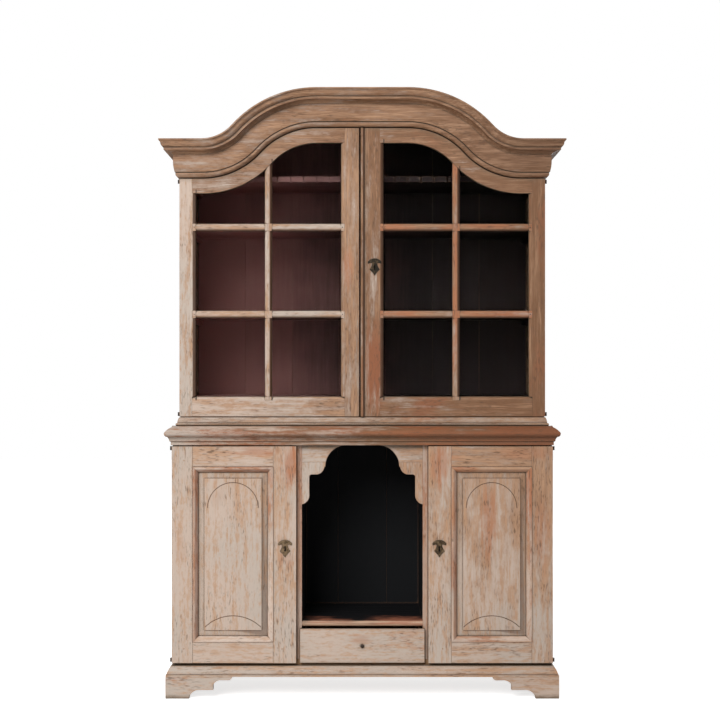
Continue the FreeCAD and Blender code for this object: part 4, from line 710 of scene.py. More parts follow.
@dataclass(frozen=True)
class Putty:
    """Chalk putty, yellowed and crazed."""

    name: str
    pale: Triple = (0.42, 0.345, 0.255)
    dark: Triple = (0.19, 0.14, 0.095)

    def material(self, _: Grain) -> Material:
        """Makes the putty.

        Args:
            _: Not used, because putty has no grain.

        Returns:
            The material.
        """
        sheet = Sheet(self.name)
        cloud = sheet.noise(sheet.place, PUTTY_CLOUD)
        craze = sheet.node("TexVoronoi", {"Vector": sheet.place, "Scale": 150.0}, feature="DISTANCE_TO_EDGE")
        crack = sheet.fade(craze.outputs["Distance"], 0.0, 0.05, 0.7, 0.0)
        colour = sheet.veil(self.pale, self.dark, cloud, 0.42, 0.66)
        sheet.bump(sheet.total((cloud, 0.7), (crack, -0.4)), 0.0006, 0.7)
        return sheet.dress(sheet.blend(colour, self.dark, crack), sheet.fade(cloud, 0.3, 0.7, 0.75, 0.9),
                           Specular_IOR_Level=0.2)


Finish = PaintedPine | RedLining | RawPine | OldGlass | ForgedIron | TarnishedBrass | Putty

IRON = ForgedIron("forged_iron")
HINGE = ForgedIron("hinge_iron", scale=(0.06, 0.045, 0.036), rubbed=(0.12, 0.09, 0.07),
                   rust=(0.08, 0.04, 0.024))
RAW = RawPine("raw_pine_board")
# The case linings run from pale at the left to very dark at the right: partly aged paint, partly painted
# light and shade.
LINING = RedLining("red_lining", faded_and_lit=(0.5, 0.235, 0.215))
BACK_LINING = RedLining("upper_back_lining", raw_rear=True)
# The niche is lined very dark: dark paint, and painted shade deep in the niche.
NICHE_LINING_AND_SHADE = RedLining("niche_lining", faded_and_lit=(0.006, 0.0055, 0.006), sooty_and_shaded=(0.003, 0.0035, 0.0045),
                         wood=(0.02, 0.011, 0.008))
# The niche floor is red at its front edge and very dark towards the back: painted shade deeper in the niche.
NICHE_FLOOR_AND_SHADE = RedLining("niche_floor_paint", faded_and_lit=(0.42, 0.15, 0.085), sooty_and_shaded=(0.004, 0.004, 0.005),
                        wood=(0.56, 0.37, 0.25), bright_side=-0.2, dark_side=-0.1, across=-0.12,
                        inward=1.0, bare_front=1.0)
GLASS = OldGlass("window_glass")
PUTTY = Putty("glazing_putty")
# Very dark slivers stand for the saw cuts: dirty insides and painted shade in the cuts.
KERF_DIRT_AND_SHADE = RedLining("saw_kerf", faded_and_lit=(0.014, 0.009, 0.006), sooty_and_shaded=(0.01, 0.007, 0.005),
                 wood=(0.014, 0.009, 0.006))
OLIVE_BRASS = TarnishedBrass("olive_brass", tarnish=0.2)
BLACK_BRASS = TarnishedBrass("black_brass", tarnish=0.45)
DARK_BRASS = TarnishedBrass("dark_brass", tarnish=0.75)
PEG = PaintedPine("oak_peg", wear=0.75, blush=0.2)
CUPBOARD = PaintedPine("cupboard_paint", wear=0.32, blush=0.1, drift_up=0.4, middle_height=0.52, tone=0.41)
LEFT_CUPBOARD = replace(CUPBOARD, name="left_cupboard_paint",
                        rubs=(Rub(-0.262, 0.842, 0.035, 0.085, 0.75), Rub(-0.39, 0.893, 0.085, 0.02, 0.65),
                              Rub(-0.526, 0.73, 0.03, 0.06, 0.25), Rub(-0.653, 0.534, 0.025, 0.05, 0.25),
                              Rub(-0.268, 0.5, 0.03, 0.03, 0.4)))
RIGHT_CUPBOARD = replace(CUPBOARD, name="right_cupboard_paint", wear=0.36, tone=0.46,
                         rubs=(Rub(0.288, 0.84, 0.035, 0.085, 0.65), Rub(0.459, 0.63, 0.03, 0.13, 0.55),
                               Rub(0.6, 0.885, 0.12, 0.025, 0.35), Rub(0.648, 0.6, 0.03, 0.12, 0.4)))
# Mouldings take a redder painted shade on faces turned to the right, more on the left door than on the right.
STRIP = replace(CUPBOARD, name="moulding_paint", stain_and_shade_reach=0.006, shade=(0.16, 0.06, 0.03))
LEFT_STRIP = replace(STRIP, name="left_moulding_paint", wear=0.36, blush=0.6, painted_lee_shade=0.55,
                     paint=(0.74, 0.59, 0.49),
                     rubs=(Rub(-0.4, 0.85, 0.2, 0.02, 0.6), Rub(-0.62, 0.5, 0.02, 0.5, 0.6)))
RIGHT_STRIP = replace(STRIP, name="right_moulding_paint", wear=0.46, blush=0.65, painted_lee_shade=0.4,
                      paint=(0.72, 0.56, 0.455), rubs=(Rub(0.35, 0.5, 0.03, 0.5, 0.5),))
# Glazed frames take strong painted shade on faces turned to the right.
GLAZED = PaintedPine("glazed_paint", painted_lee_shade=0.9, painted_lee_span=(0.0, 0.2))
LEFT_GLAZED = replace(GLAZED, name="left_glazed_paint", wear=0.84, blush=0.12, drift_right=0.5, tone=0.53,
                      rubs=(Rub(-0.055, 1.55, 0.02, 0.07, 0.5),))
RIGHT_GLAZED = replace(GLAZED, name="right_glazed_paint", wear=0.82, blush=0.3, drift_right=0.3, tone=0.62,
                       red_wood=(0.3, 0.11, 0.05), rubs=(Rub(0.043, 1.186, 0.04, 0.16, 1.0),))
LEFT_ARCH = PaintedPine("left_arch_paint", wear=0.92, blush=0.1, drift_right=0.3, tone=0.58)
RIGHT_ARCH = PaintedPine("right_arch_paint", wear=0.78, blush=0.1, drift_right=0.35, tone=0.61)
# Bars take full painted shade on their slopes that face right.
BARS = PaintedPine("bar_paint", painted_lee_shade=1.0, painted_lee_span=(0.0, 0.2), under=0.2)
LEFT_BARS = replace(BARS, name="left_bar_paint", wear=0.42, blush=0.2)
RIGHT_BARS = replace(BARS, name="right_bar_paint", wear=0.86, blush=0.7, tone=0.55)


@cache
def material_of(finish: Finish, grain: Grain) -> Material:
    """The material for a finish and a grain, which is made once."""
    return finish.material(grain)


def closed_runs(mesh: bpy.types.Mesh) -> list[range]:
    """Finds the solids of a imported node, which follow each other in its list of faces.

    Args:
        mesh: The node's mesh of loose triangles.

    Returns:
        One range of faces for each closed solid.
    """
    micron = 1e6
    spots = [tuple(round(c * micron) for c in vertex.co) for vertex in mesh.vertices]
    loose: dict[tuple, int] = {}
    runs = []
    start = 0
    for face in mesh.polygons:
        ring = [spots[v] for v in face.vertices]
        for edge in zip(ring, ring[1:] + ring[:1]):
            other = edge[::-1]
            if loose.get(other):
                loose[other] -= 1
                if not loose[other]:
                    del loose[other]
            elif edge[0] != edge[1]:
                loose[edge] = loose.get(edge, 0) + 1
        if not loose:
            runs.append(range(start, face.index + 1))
            start = face.index + 1
    return runs


def solid_copy(mesh: bpy.types.Mesh, run: range) -> Solid:
    """Copies one solid of a node, with its triangles merged to whole faces.

    Args:
        mesh: The node's mesh.
        run: The solid's faces.

    Returns:
        The copy.
    """
    solid = bmesh.new()
    solid.from_mesh(mesh)
    solid.faces.ensure_lookup_table()
    others = [face for face in solid.faces if face.index not in run]
    bmesh.ops.delete(solid, geom=others, context="FACES")
    bmesh.ops.remove_doubles(solid, verts=solid.verts, dist=MERGE_DISTANCE)
    bmesh.ops.dissolve_degenerate(solid, dist=MERGE_DISTANCE, edges=solid.edges)
    bmesh.ops.dissolve_limit(solid, angle_limit=FLAT_ANGLE, verts=solid.verts, edges=solid.edges)
    return solid


def solids_of(node: str) -> Iterator[Solid]:
    """Copies of the solids of a node, one after the other."""
    mesh = frame["nodes"][node].data
    return (solid_copy(mesh, run) for run in closed_runs(mesh))


def corners_of(solid: Solid) -> tuple[Vector, Vector]:
    """Lowest and highest corner of a mesh.

    Args:
        solid: The mesh.

    Returns:
        Both corners.
    """
    places = [vertex.co for vertex in solid.verts]
    low = Vector(min(p[axis] for p in places) for axis in range(3))
    high = Vector(max(p[axis] for p in places) for axis in range(3))
    return low, high


def grain_of(solid: Solid) -> Grain:
    """The grain runs along a stick's longest side."""
    low, high = corners_of(solid)
    return Grain(max(range(3), key=lambda axis: high[axis] - low[axis]))


@dataclass(frozen=True)
class Wear:
    """How far hand tools and use have softened a stick."""

    arris: float = 1.2 * MILLIMETRE
    waver: float = 0.3 * MILLIMETRE
    length: float = 90 * MILLIMETRE
    shortest: float = 2.5 * MILLIMETRE
    sharp: float = math.radians(32)
    pitch: float = 7.0

    def work_on(self, solid: Solid) -> None:
        """Divides long edges, lets them waver and rounds the arrises.

        Args:
            solid: The stick, which is changed.
        """
        by_cuts: dict[int, list[bmesh.types.BMEdge]] = {}
        for edge in solid.edges:
            cuts = int(edge.calc_length() / self.length)
            plain = all(len(face.verts) <= 4 for face in edge.link_faces)
            if cuts and plain and self.waver:
                by_cuts.setdefault(cuts, []).append(edge)
        for cuts, edges in sorted(by_cuts.items()):
            alive = [edge for edge in edges if edge.is_valid]
            bmesh.ops.subdivide_edges(solid, edges=alive, cuts=cuts)
        for vertex in solid.verts:
            vertex.co += self.waver * noise.noise_vector(vertex.co * self.pitch)
        if self.arris:
            crisp = [edge for edge in solid.edges if edge.is_manifold and edge.calc_length() > self.shortest
                     and edge.calc_face_angle() > self.sharp]
            bmesh.ops.bevel(solid, geom=crisp, offset=self.arris, offset_type="OFFSET", affect="EDGES",
                            segments=2, profile=0.5, material=-1, clamp_overlap=True)


BOARD = Wear()
MOULDING = Wear(arris=0.7 * MILLIMETRE, shortest=1.2 * MILLIMETRE)
FINE = Wear(arris=0.35 * MILLIMETRE, waver=0.15 * MILLIMETRE, shortest=1.0 * MILLIMETRE)
CARVED = Wear(arris=0.0, waver=0.25 * MILLIMETRE)
UNWORN = Wear(arris=0.0, waver=0.0)


def body_of(node: str) -> str:
    """The frame's body that a node rides on."""
    return frame["nodes"][node]["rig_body"]


def slot_of(node: str) -> str:
    """The record's material slot of a node."""
    return frame["nodes"][node].material_slots[0].material.name


def finished(name: str, solids: Iterable[tuple[Solid, Grain]], finish: Finish, body: str,
             slot: str) -> bpy.types.Object:
    """Joins solids to one piece that rides on a body.

    Args:
        name: Name of the piece.
        solids: Its solids with the way of their grain. They are used up.
        finish: The finish of all of them.
        body: The body that it rides on.
        slot: The record's material slot, which is not used.

    Returns:
        The piece.
    """
    mesh = bpy.data.meshes.new(name)
    whole = bmesh.new()
    grains: list[Grain] = []
    for number, (solid, grain) in enumerate(solids):
        if grain not in grains:
            grains.append(grain)
        layer = solid.verts.layers.float.new("stick")
        for vertex in solid.verts:
            vertex[layer] = (GOLDEN * (number + len(name))) % 1.0
        for face in solid.faces:
            face.material_index = grains.index(grain)
            face.smooth = True
        part = bpy.data.meshes.new(name + "_part")
        solid.to_mesh(part)
        solid.free()
        whole.from_mesh(part)
        bpy.data.meshes.remove(part)
    whole.to_mesh(mesh)
    whole.free()
    stale = mesh.attributes.get("custom_normal")
    if stale:
        mesh.attributes.remove(stale)
    for grain in grains:
        mesh.materials.append(material_of(finish, grain))
    mesh.set_sharp_from_angle(angle=SMOOTH_ANGLE)
    piece = bpy.data.objects.new(name, mesh)
    bpy.context.scene.collection.objects.link(piece)
    weighted = piece.modifiers.new("flat_faces", "WEIGHTED_NORMAL")
    weighted.keep_sharp = True
    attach(piece, body)
    log.info("%s: %d faces on %s", name, len(mesh.polygons), body)
    return piece


def worn(node: str, finish: Finish, wear: Wear = BOARD, grain: Grain | None = None) -> bpy.types.Object:
    """Stands a worn copy in for a node of the frame.

    Args:
        node: The node.
        finish: The finish of its sticks.
        wear: How far its sticks are worn.
        grain: The way of the grain, or None where it follows each stick's length.

    Returns:
        The piece.
    """
    solids = []
    for solid in solids_of(node):
        way = grain or grain_of(solid)
        wear.work_on(solid)
        solids.append((solid, way))
    piece = finished(node + "_worn", solids, finish, body_of(node), slot_of(node))
    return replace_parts(piece, node)


def kept(node: str, finish: Finish) -> None:
    """Gives a node of the frame its finish and leaves its shape alone.

    Args:
        node: The node.
        finish: Its finish.
    """
    thing = frame["nodes"][node]
    thing.material_slots[0].material = material_of(finish, Grain.ALONG_Z)
    log.info("%s: kept with %s", node, finish.name)


@dataclass(frozen=True)
class Stud:
    """A low faceted nail head or peg, with a short shank sunk in its seat."""

    radius: float
    height: float
    way: Vector
    finish: Finish
    slot: str
    sides: int = 8
    taper: float = 0.45
    smallest: float = 0.85
    spread: float = 0.3

    def head(self, spot: Vector, radius: float) -> Solid:
        """One head.

        Args:
            spot: Middle of its seat.
            radius: Its radius on the seat.

        Returns:
            The head.
        """
        head = bmesh.new()
        bmesh.ops.create_cone(head, cap_ends=True, segments=self.sides, radius1=radius,
                              radius2=self.taper * radius, depth=self.height)
        under = [face for face in head.faces if face.normal.z < -SQUARE_ON]
        shank = bmesh.ops.extrude_face_region(head, geom=under)["geom"]
        bmesh.ops.delete(head, geom=under, context="FACES_ONLY")
        sunk = [part for part in shank if isinstance(part, bmesh.types.BMVert)]
        bmesh.ops.translate(head, verts=sunk, vec=(0, 0, -self.height))
        turn = UP.rotation_difference(self.way).to_matrix().to_4x4()
        lift = Matrix.Translation(spot + self.way * (self.height / 2))
        bmesh.ops.transform(head, matrix=lift @ turn, verts=head.verts)
        bmesh.ops.recalc_face_normals(head, faces=head.faces)
        return head

    def row(self, name: str, spots: Iterable[Vector], body: str) -> bpy.types.Object:
        """A set of heads, each of a slightly different size, as one piece.

        Args:
            name: Name of the piece.
            spots: Middles of their seats.
            body: The body that they ride on.

        Returns:
            The piece.
        """
        heads = []
        for number, spot in enumerate(spots):
            change = self.smallest + self.spread * ((GOLDEN * number) % 1.0)
            heads.append((self.head(spot, self.radius * change), Grain.ALONG_Y))
        return finished(name, heads, self.finish, body, self.slot)


BACK_NAIL = Stud(2.6 * MILLIMETRE, 1.0 * MILLIMETRE, REAR, IRON, "iron")
PLATE_PIN = Stud(1.3 * MILLIMETRE, 0.7 * MILLIMETRE, FRONT, IRON, "iron")
BLOCK_PIN = Stud(1.9 * MILLIMETRE, 0.8 * MILLIMETRE, FRONT, IRON, "iron")
DOOR_PEG = Stud(3.2 * MILLIMETRE, 0.3 * MILLIMETRE, FRONT, PEG, "painted_pine")


def block(low: Vector, high: Vector) -> Solid:
    """A plain block between two corners.

    Args:
        low: Its lowest corner.
        high: Its highest corner.

    Returns:
        The block.
    """
    solid = bmesh.new()
    bmesh.ops.create_cube(solid, size=1.0)
    stretch = Matrix.Diagonal((*(high - low), 1.0))
    bmesh.ops.transform(solid, matrix=Matrix.Translation((low + high) / 2) @ stretch, verts=solid.verts)
    return solid


@dataclass
class LowerCase:
    """Plinth, feet, walls, niche and waist of the lower part."""

    plinth: PaintedPine = PaintedPine("plinth_paint", wear=0.2, blush=0.1, middle_height=0.1, tone=0.44)
    walls: PaintedPine = PaintedPine("lower_wall_paint", wear=0.36, blush=0.1)
    # The left stile is paler than the right, partly as painted light against the shadow that the left door
    # casts on it.
    stiles: PaintedPine = PaintedPine("niche_stile_paint", wear=0.5, blush=0.6, drift_right=0.5,
                                      middle_height=0.6, stain_and_shade_reach=0.004,
                                      rubs=(Rub(-0.21, 0.6, 0.06, 0.6, 0.6), Rub(0.22, 0.6, 0.06, 0.6, 0.45)))
    apron: PaintedPine = PaintedPine("apron_paint", wear=0.38, blush=0.12, drift_right=0.45,
                                     middle_height=0.85)
    # The waist darkens strongly towards the right: painted shade and grimy darkening.
    waist: PaintedPine = PaintedPine("waist_paint", wear=0.84, blush=0.7, drift_right=0.45, rub=0.010,
                                     tone=0.7, red_wood=(0.36, 0.115, 0.045), right_shade_and_grime=0.4,
                                     rubs=(Rub(0.3, 0.957, 0.5, 0.012, 0.5),
                                           Rub(-0.2, 0.957, 0.5, 0.012, 0.4)))
    nail_inset: float = 16 * MILLIMETRE
    niche_half: float = 225 * MILLIMETRE

    def build(self) -> None:
        """Makes every piece of the lower case."""
        worn("plinth", self.plinth, MOULDING)
        worn("bracket_feet", self.plinth)
        worn("foot_blocks", RAW)
        worn("lower_bottom_board", RAW)
        worn("lower_sides", self.walls)
        worn("lower_top_board", RAW)
        worn("lower_back_boards", RawPine("lower_back_pine", lined_and_shaded_half=self.niche_half))
        worn("niche_partitions", NICHE_LINING_AND_SHADE)
        worn("niche_floor", NICHE_FLOOR_AND_SHADE, MOULDING)
        worn("niche_stiles", self.stiles, FINE)
        worn("niche_apron", self.apron, MOULDING)
        worn("cupboard_shelves", RAW)
        worn("waist_moulding", self.waist, MOULDING)
        self.back_nails("lower_back_boards")

    def back_nails(self, node: str) -> None:
        """Two nails at each end of every back board.

        Args:
            node: The boards' node.
        """
        inset = self.nail_inset
        spots = []
        for board in solids_of(node):
            low, high = corners_of(board)
            board.free()
            for x in (low.x + inset, high.x - inset):
                spots += [Vector((x, high.y, z)) for z in (low.z + 2 * inset, high.z - inset)]
        BACK_NAIL.row(node + "_nails", spots, body_of(node))


@dataclass
class UpperCase:
    """Walls, lining, shelves and cornice of the glazed part."""

    walls: PaintedPine = PaintedPine("upper_wall_paint", wear=0.46, blush=0.1)
    base: PaintedPine = PaintedPine("base_paint", wear=0.6, blush=0.2, tone=0.55)
    # The cornice takes painted shade on faces turned to the right, stains and painted shade close in its
    # corners, and painted shade and grimy darkening towards the right.
    cornice: PaintedPine = PaintedPine("cornice_paint", wear=0.98, blush=0.16, drift_right=0.2, tone=0.55,
                                       painted_lee_shade=0.5, under=0.1, stain_and_shade_reach=0.008, right_shade_and_grime=0.42)

    def build(self) -> None:
        """Makes every piece of the upper case."""
        worn("upper_sides", self.walls)
        worn("upper_base_rail", RAW)
        worn("upper_bottom_board", LINING)
        worn("base_moulding", self.base, MOULDING)
        worn("head_board", LINING, MOULDING)
        worn("roof_boards", RAW, MOULDING)
        worn("upper_back_boards", BACK_LINING)
        worn("plate_shelves", LINING)
        worn("spoon_shelf", LINING, MOULDING)
        worn("shelf_battens", LINING)
        worn("cornice_front", self.cornice, MOULDING, Grain.ALONG_X)
        worn("cornice_returns", self.cornice, MOULDING)
        kept("hinge_pintles", HINGE)


@dataclass
class Drawer:
    """The long drawer under the niche."""

    front: PaintedPine = PaintedPine("drawer_paint", wear=0.2, blush=0.2, middle_height=0.19, tone=0.44,
                                     rubs=(Rub(0.0, 0.207, 0.05, 0.018, 0.5),))

    def build(self) -> None:
        """Makes the drawer."""
        worn("drawer_front", self.front)
        worn("drawer_bottom", RAW)
        worn("drawer_box", RAW)
        kept("drawer_pull", IRON)


@dataclass
class LockPlate:
    """A lock's plate with its pins."""

    node: str
    finish: TarnishedBrass
    pin_out: float = 16 * MILLIMETRE
    pin_under: float = 11 * MILLIMETRE
    pin_over: float = 8 * MILLIMETRE

    def build(self) -> None:
        """Dresses the plate and sets its three pins."""
        kept(self.node, self.finish)
        low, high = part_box(self.node)
        middle = (low.x + high.x) / 2
        spots = [Vector((middle + side * self.pin_out, low.y, high.z - self.pin_under)) for side in (-1, 1)]
        spots.append(Vector((middle, low.y, low.z + self.pin_over)))
        PLATE_PIN.row(self.node + "_pins", spots, body_of(self.node))


@dataclass
class Door:
    """What all doors share: a side, a wood, names for their pieces, and how a lock is dressed."""

    hand: Hand
    wood: PaintedPine
    level: ClassVar[str] = ""

    def name(self, piece: str) -> str:
        """The frame's name of one of the door's pieces."""
        return "{}_{}_door_{}".format(self.level, self.hand.word, piece)

    @property
    def body(self) -> str:
        """The body that the door's pieces ride on."""
        return body_of(self.name("frame"))

    def lock(self, plate: TarnishedBrass) -> None:
        """Dresses the lock's case, bolt and plate.

        Args:
            plate: The finish of the plate.
        """
        kept(self.name("lock_case"), HINGE)
        kept(self.name("lock_bolt"), IRON)
        LockPlate(self.name("escutcheon"), plate).build()


@dataclass
class LowerDoor(Door):
    """A panelled cupboard door with its lock and hinges."""

    strip: PaintedPine
    plate: TarnishedBrass
    hinge_stile: float = 76 * MILLIMETRE
    lock_stile: float = 83.5 * MILLIMETRE
    peg_inset: float = 32 * MILLIMETRE
    peg_end: float = 52 * MILLIMETRE
    panel_stain_and_shade_reach: float = 60 * MILLIMETRE
    panel_painted_lee_shade: float = 0.5
    panel_painted_lee_span: tuple[float, float] = (0.02, 0.1)
    level: ClassVar[str] = "lower"

    def build(self) -> None:
        """Makes every piece of the door."""
        worn(self.name("frame"), self.wood)
        # The panel takes stains and painted shade far out of its corners, and painted shade on its bevels
        # that face right and down.
        panel = replace(self.wood, name=self.wood.name + "_panel", stain_and_shade_reach=self.panel_stain_and_shade_reach,
                        painted_lee_shade=self.panel_painted_lee_shade, painted_lee_span=self.panel_painted_lee_span)
        worn(self.name("panel"), panel, CARVED, Grain.ALONG_Z)
        worn(self.name("mouldings"), self.strip, FINE)
        kept(self.name("hinge_eyes"), HINGE)
        self.lock(self.plate)
        self.pegs()

    def pegs(self) -> None:
        """Pegs through the four mortise joints."""
        low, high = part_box(self.name("frame"))
        left, right = self.hinge_stile, self.lock_stile
        if self.hand is Hand.RIGHT:
            left, right = right, left
        columns = (low.x + left - self.peg_inset, high.x - right + self.peg_inset)
        levels = (low.z + self.peg_end, high.z - self.peg_end)
        spots = [Vector((x, low.y, z)) for x in columns for z in levels]
        DOOR_PEG.row(self.name("pegs"), spots, self.body)


@dataclass
class GlazedDoor(Door):
    """An arched glazed door with its bars, panes, putty and ironwork."""

    arch: PaintedPine
    bars: PaintedPine
    opening_sides: tuple[float, float]
    pin_inset: float = 8 * MILLIMETRE
    putty_width: float = 7 * MILLIMETRE
    putty_rise: float = 6 * MILLIMETRE
    putty_lip: float = 0.5 * MILLIMETRE
    rim_reach: float = 0.01 * MILLIMETRE
    bar_levels: tuple[float, float] = (1.3888, 1.7059)
    opening_foot: float = 1.089
    cut_size: Vector = Vector((2.4, 1.4, 13.0)) * MILLIMETRE
    cut_proud: float = 0.5 * MILLIMETRE
    level: ClassVar[str] = "upper"

    def build(self) -> None:
        """Makes every piece of the door."""
        worn(self.name("frame"), self.wood, MOULDING)
        worn(self.name("arch_rail"), self.arch, MOULDING, Grain.ALONG_X)
        worn(self.name("bars"), self.bars, FINE)
        worn(self.name("panes"), GLASS, UNWORN, Grain.ALONG_Z)
        kept(self.name("hinge_eyes"), HINGE)
        if self.hand is Hand.LEFT:
            kept(self.name("bolt_guide"), IRON)
            kept(self.name("slide_bolt"), IRON)
        else:
            self.lock(DARK_BRASS)
        self.block_pins()
        self.saw_cuts()
        self.putty()

    def block_pins(self) -> None:
        """A nail in each block at the ends of the cross bars."""
        low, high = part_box(self.name("bars"))
        columns = (low.x + self.pin_inset, high.x - self.pin_inset)
        spots = [Vector((x, low.y, z)) for z in self.bar_levels for x in columns]
        BLOCK_PIN.row(self.name("block_pins"), spots, self.body)

    def saw_cuts(self) -> None:
        """Ticks where the saw ran past the corners of the glass openings."""
        mesh = frame["nodes"][self.name("arch_rail")].data
        rail = BVHTree.FromPolygons([vertex.co for vertex in mesh.vertices],
                                    [tuple(face.vertices) for face in mesh.polygons])
        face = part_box(self.name("arch_rail"))[0].y
        reach = Vector((self.cut_size.x / 2, 0.0, 0.0))
        cuts = []
        for x in self.opening_sides:
            arch = rail.ray_cast(Vector((x, face + self.cut_size.y, self.opening_foot)), UP)[0]
            for foot in (arch.z, self.opening_foot - self.cut_size.z):
                low = Vector((x, face - self.cut_proud, foot)) - reach
                cuts.append((block(low, low + self.cut_size), Grain.ALONG_Z))
        # The slivers are very dark: painted shade and dirty insides of the cuts.
        finished(self.name("saw_cuts"), cuts, KERF_DIRT_AND_SHADE, self.body, slot_of(self.name("frame")))

    def putty(self) -> None:
        """A sloping fillet of putty behind the edge of every pane."""
        fillets = [(self.fillet(pane), Grain.ALONG_Z) for pane in solids_of(self.name("panes"))]
        finished(self.name("putty"), fillets, PUTTY, self.body, slot_of(self.name("frame")))

    def fillet(self, pane: Solid) -> Solid:
        """Turns a pane into the putty round its rear face.

        Args:
            pane: A copy of the pane, which is changed.

        Returns:
            The fillet.
        """
        pane.normal_update()
        rear = max(vertex.co.y for vertex in pane.verts)
        unwanted = [face for face in pane.faces if face.normal.y < SQUARE_ON]
        bmesh.ops.delete(pane, geom=unwanted, context="FACES")
        rim = [vertex.co.copy() for vertex in pane.verts]
        outline = bmesh.ops.inset_region(pane, faces=pane.faces, thickness=self.putty_width,
                                         use_even_offset=True, use_boundary=True)
        ring = set(outline["faces"])
        inner = [face for face in pane.faces if face not in ring]
        bmesh.ops.delete(pane, geom=inner, context="FACES")
        raised = bmesh.ops.extrude_face_region(pane, geom=list(pane.faces))["geom"]
        for vertex in (piece for piece in raised if isinstance(piece, bmesh.types.BMVert)):
            outer = min((vertex.co - spot).length for spot in rim) < self.rim_reach
            vertex.co.y = rear + (self.putty_rise if outer else self.putty_lip)
        bmesh.ops.recalc_face_normals(pane, faces=pane.faces)
        return pane


@dataclass(frozen=True)
class Lamp:
    """A square soft lamp."""

    name: str
    place: Triple
    size: float
    watts: float

    def build(self, aim: Vector) -> None:
        """Sets the lamp up.

        Args:
            aim: The spot that it faces.
        """
        data = bpy.data.lights.new(self.name, "AREA")
        data.size = self.size
        data.energy = self.watts
        lamp = bpy.data.objects.new(self.name, data)
        lamp.location = self.place
        lamp.rotation_mode = "QUATERNION"
        lamp.rotation_quaternion = (aim - Vector(self.place)).to_track_quat("-Z", "Y")
        bpy.context.scene.collection.objects.link(lamp)


LAMPS = (
    Lamp("key", (-4.0, -10.4, 7.3), 6.5, 1285.0),
    Lamp("fill", (2.8, -3.4, 2.0), 2.0, 5.0),
    Lamp("top", (-0.6, -1.2, 4.4), 2.5, 16.0),
    Lamp("rear", (1.6, 5.6, 2.6), 3.0, 110.0),
)


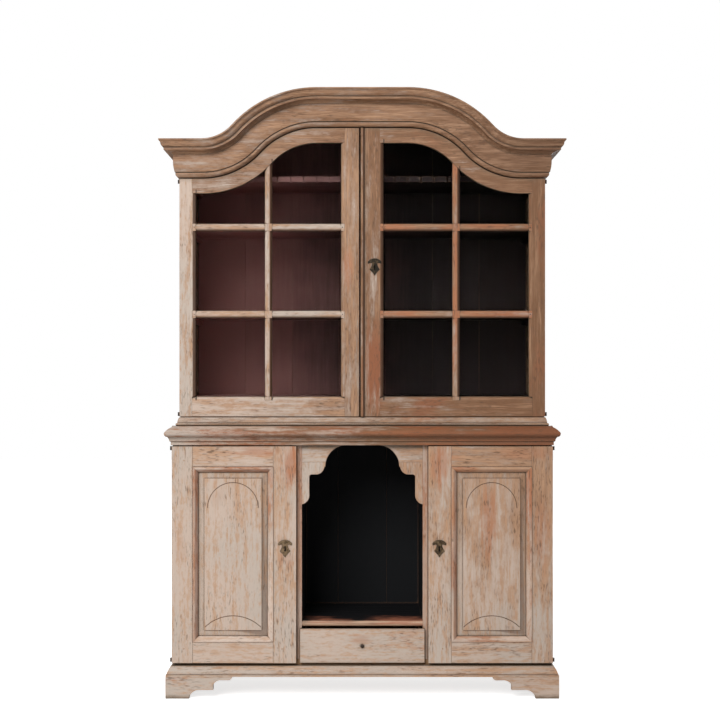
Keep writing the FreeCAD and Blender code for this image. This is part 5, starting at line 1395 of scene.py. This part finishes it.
@dataclass
class Studio:
    """Camera, lamps, pale floor and surroundings."""

    camera_place: Vector = Vector((0.0, -5.272, 1.168))
    focal_pixels: float = 1401.1
    middle_pixel: float = 362.3
    horizon_pixel: float = 375.0
    sensor: float = 36.0
    aim: Vector = Vector((-0.1, 0.0, 1.0))
    world_level: float = 0.07
    dim_span: tuple[float, float] = (-0.95, -0.3)
    floor_half: float = 14.0
    floor_glow: float = 0.74
    floor_pale: Triple = (0.9, 0.9, 0.9)
    floor_grey: Triple = (0.88, 0.88, 0.88)
    shadow_half: Vector = Vector((0.80, 0.42, 1.0))
    shadow_middle: Vector = Vector((0.0, 0.02, 0.0))
    shadow_edge: tuple[float, float] = (0.85, 1.15)

    def build(self) -> None:
        """Sets up everything around the object."""
        self.camera()
        for lamp in LAMPS:
            lamp.build(self.aim)
        self.floor()
        self.world()
        bpy.context.scene.view_settings.view_transform = "Standard"

    def camera(self) -> None:
        """The camera at the viewer's place, level and looking along +Y."""
        data = bpy.data.cameras.new("viewer")
        data.sensor_width = self.sensor
        data.lens = self.focal_pixels * self.sensor / IMAGE_PIXELS
        half = IMAGE_PIXELS / 2
        data.shift_x = (half - self.middle_pixel) / IMAGE_PIXELS
        data.shift_y = (self.horizon_pixel - half) / IMAGE_PIXELS
        viewer = bpy.data.objects.new("viewer", data)
        viewer.location = self.camera_place
        viewer.rotation_euler = (math.pi / 2, 0.0, 0.0)
        bpy.context.scene.collection.objects.link(viewer)
        bpy.context.scene.camera = viewer

    @staticmethod
    def seen_ray(tree: Tree, dim: Socket | None = None, other: float = 0.0) -> Socket:
        """About 1 for rays from the camera, and less for other rays if dim is given.

        Args:
            tree: The node tree that it is made in.
            dim: What rays off or through glass get, or None where they see nothing.
            other: What all other rays get.

        Returns:
            The number.
        """
        path = tree.node("LightPath", {}).outputs
        seen = path["Is Camera Ray"]
        if dim is not None:
            diffuse = tree.work("GREATER_THAN", path["Diffuse Depth"], 0.5)
            direct = tree.work("LESS_THAN", path["Diffuse Depth"], 0.5)
            by_glass = tree.work("MAXIMUM", path["Is Glossy Ray"], path["Is Transmission Ray"])
            by_glass = tree.work("MULTIPLY", by_glass, direct)
            seen = tree.work("MAXIMUM", seen, tree.work("MULTIPLY", by_glass, dim))
            seen = tree.work("MAXIMUM", seen, tree.work("MULTIPLY", diffuse, other))
        return seen

    def floor(self) -> None:
        """A pale floor that glows white to the camera, and glows less round the object's feet so that the
        object's shadow shows there.
        """
        plane = bmesh.new()
        bmesh.ops.create_grid(plane, x_segments=1, y_segments=1, size=self.floor_half)
        mesh = bpy.data.meshes.new("floor")
        plane.to_mesh(mesh)
        plane.free()
        floor = bpy.data.objects.new("floor", mesh)
        bpy.context.scene.collection.objects.link(floor)
        sheet = Sheet("pale_floor")
        cloud = sheet.noise(sheet.place, FLOOR_CLOUD)
        off = sheet.vector("SUBTRACT", sheet.place, self.shadow_middle)
        off = sheet.vector("DIVIDE", off, self.shadow_half)
        away = sheet.node("VectorMath", {0: off}, operation="LENGTH").outputs["Value"]
        glow = sheet.fade(away, *self.shadow_edge, self.floor_glow, 1.0)
        colour = sheet.blend(self.floor_pale, self.floor_grey, cloud)
        mesh.materials.append(sheet.dress(colour, 0.9, Specular_IOR_Level=0.0, Emission_Color=WHITE,
                                          Emission_Strength=sheet.times(self.seen_ray(sheet), glow)))

    def world(self) -> None:
        """A plain pale room, white to look at, that is dim where the viewer stands."""
        world = bpy.data.worlds.new("room")
        world.use_nodes = True
        tree = Tree(world.node_tree)
        way = tree.node("TexCoord", {}).outputs["Generated"]
        dim = tree.fade(tree.node("SeparateXYZ", {0: way}).outputs["Y"], *self.dim_span)
        strength = self.seen_ray(tree, dim, self.world_level)
        background = tree.node("Background", {"Strength": strength, "Color": WHITE})
        tree.node("OutputWorld", {"Surface": background.outputs[0]})
        bpy.context.scene.world = world


def main() -> None:
    """Builds the vitrine from the floor up and then the studio round it."""
    logging.basicConfig(level=logging.INFO, format="%(message)s")
    noise.seed_set(SEED)
    LowerCase().build()
    Drawer().build()
    LowerDoor(Hand.LEFT, LEFT_CUPBOARD, LEFT_STRIP, OLIVE_BRASS).build()
    LowerDoor(Hand.RIGHT, RIGHT_CUPBOARD, RIGHT_STRIP, BLACK_BRASS).build()
    UpperCase().build()
    GlazedDoor(Hand.LEFT, LEFT_GLAZED, LEFT_ARCH, LEFT_BARS, (-0.605, -0.3284)).build()
    GlazedDoor(Hand.RIGHT, RIGHT_GLAZED, RIGHT_ARCH, RIGHT_BARS, (0.0785, 0.355)).build()
    Studio().build()


if __name__ == "__main__":
    main()
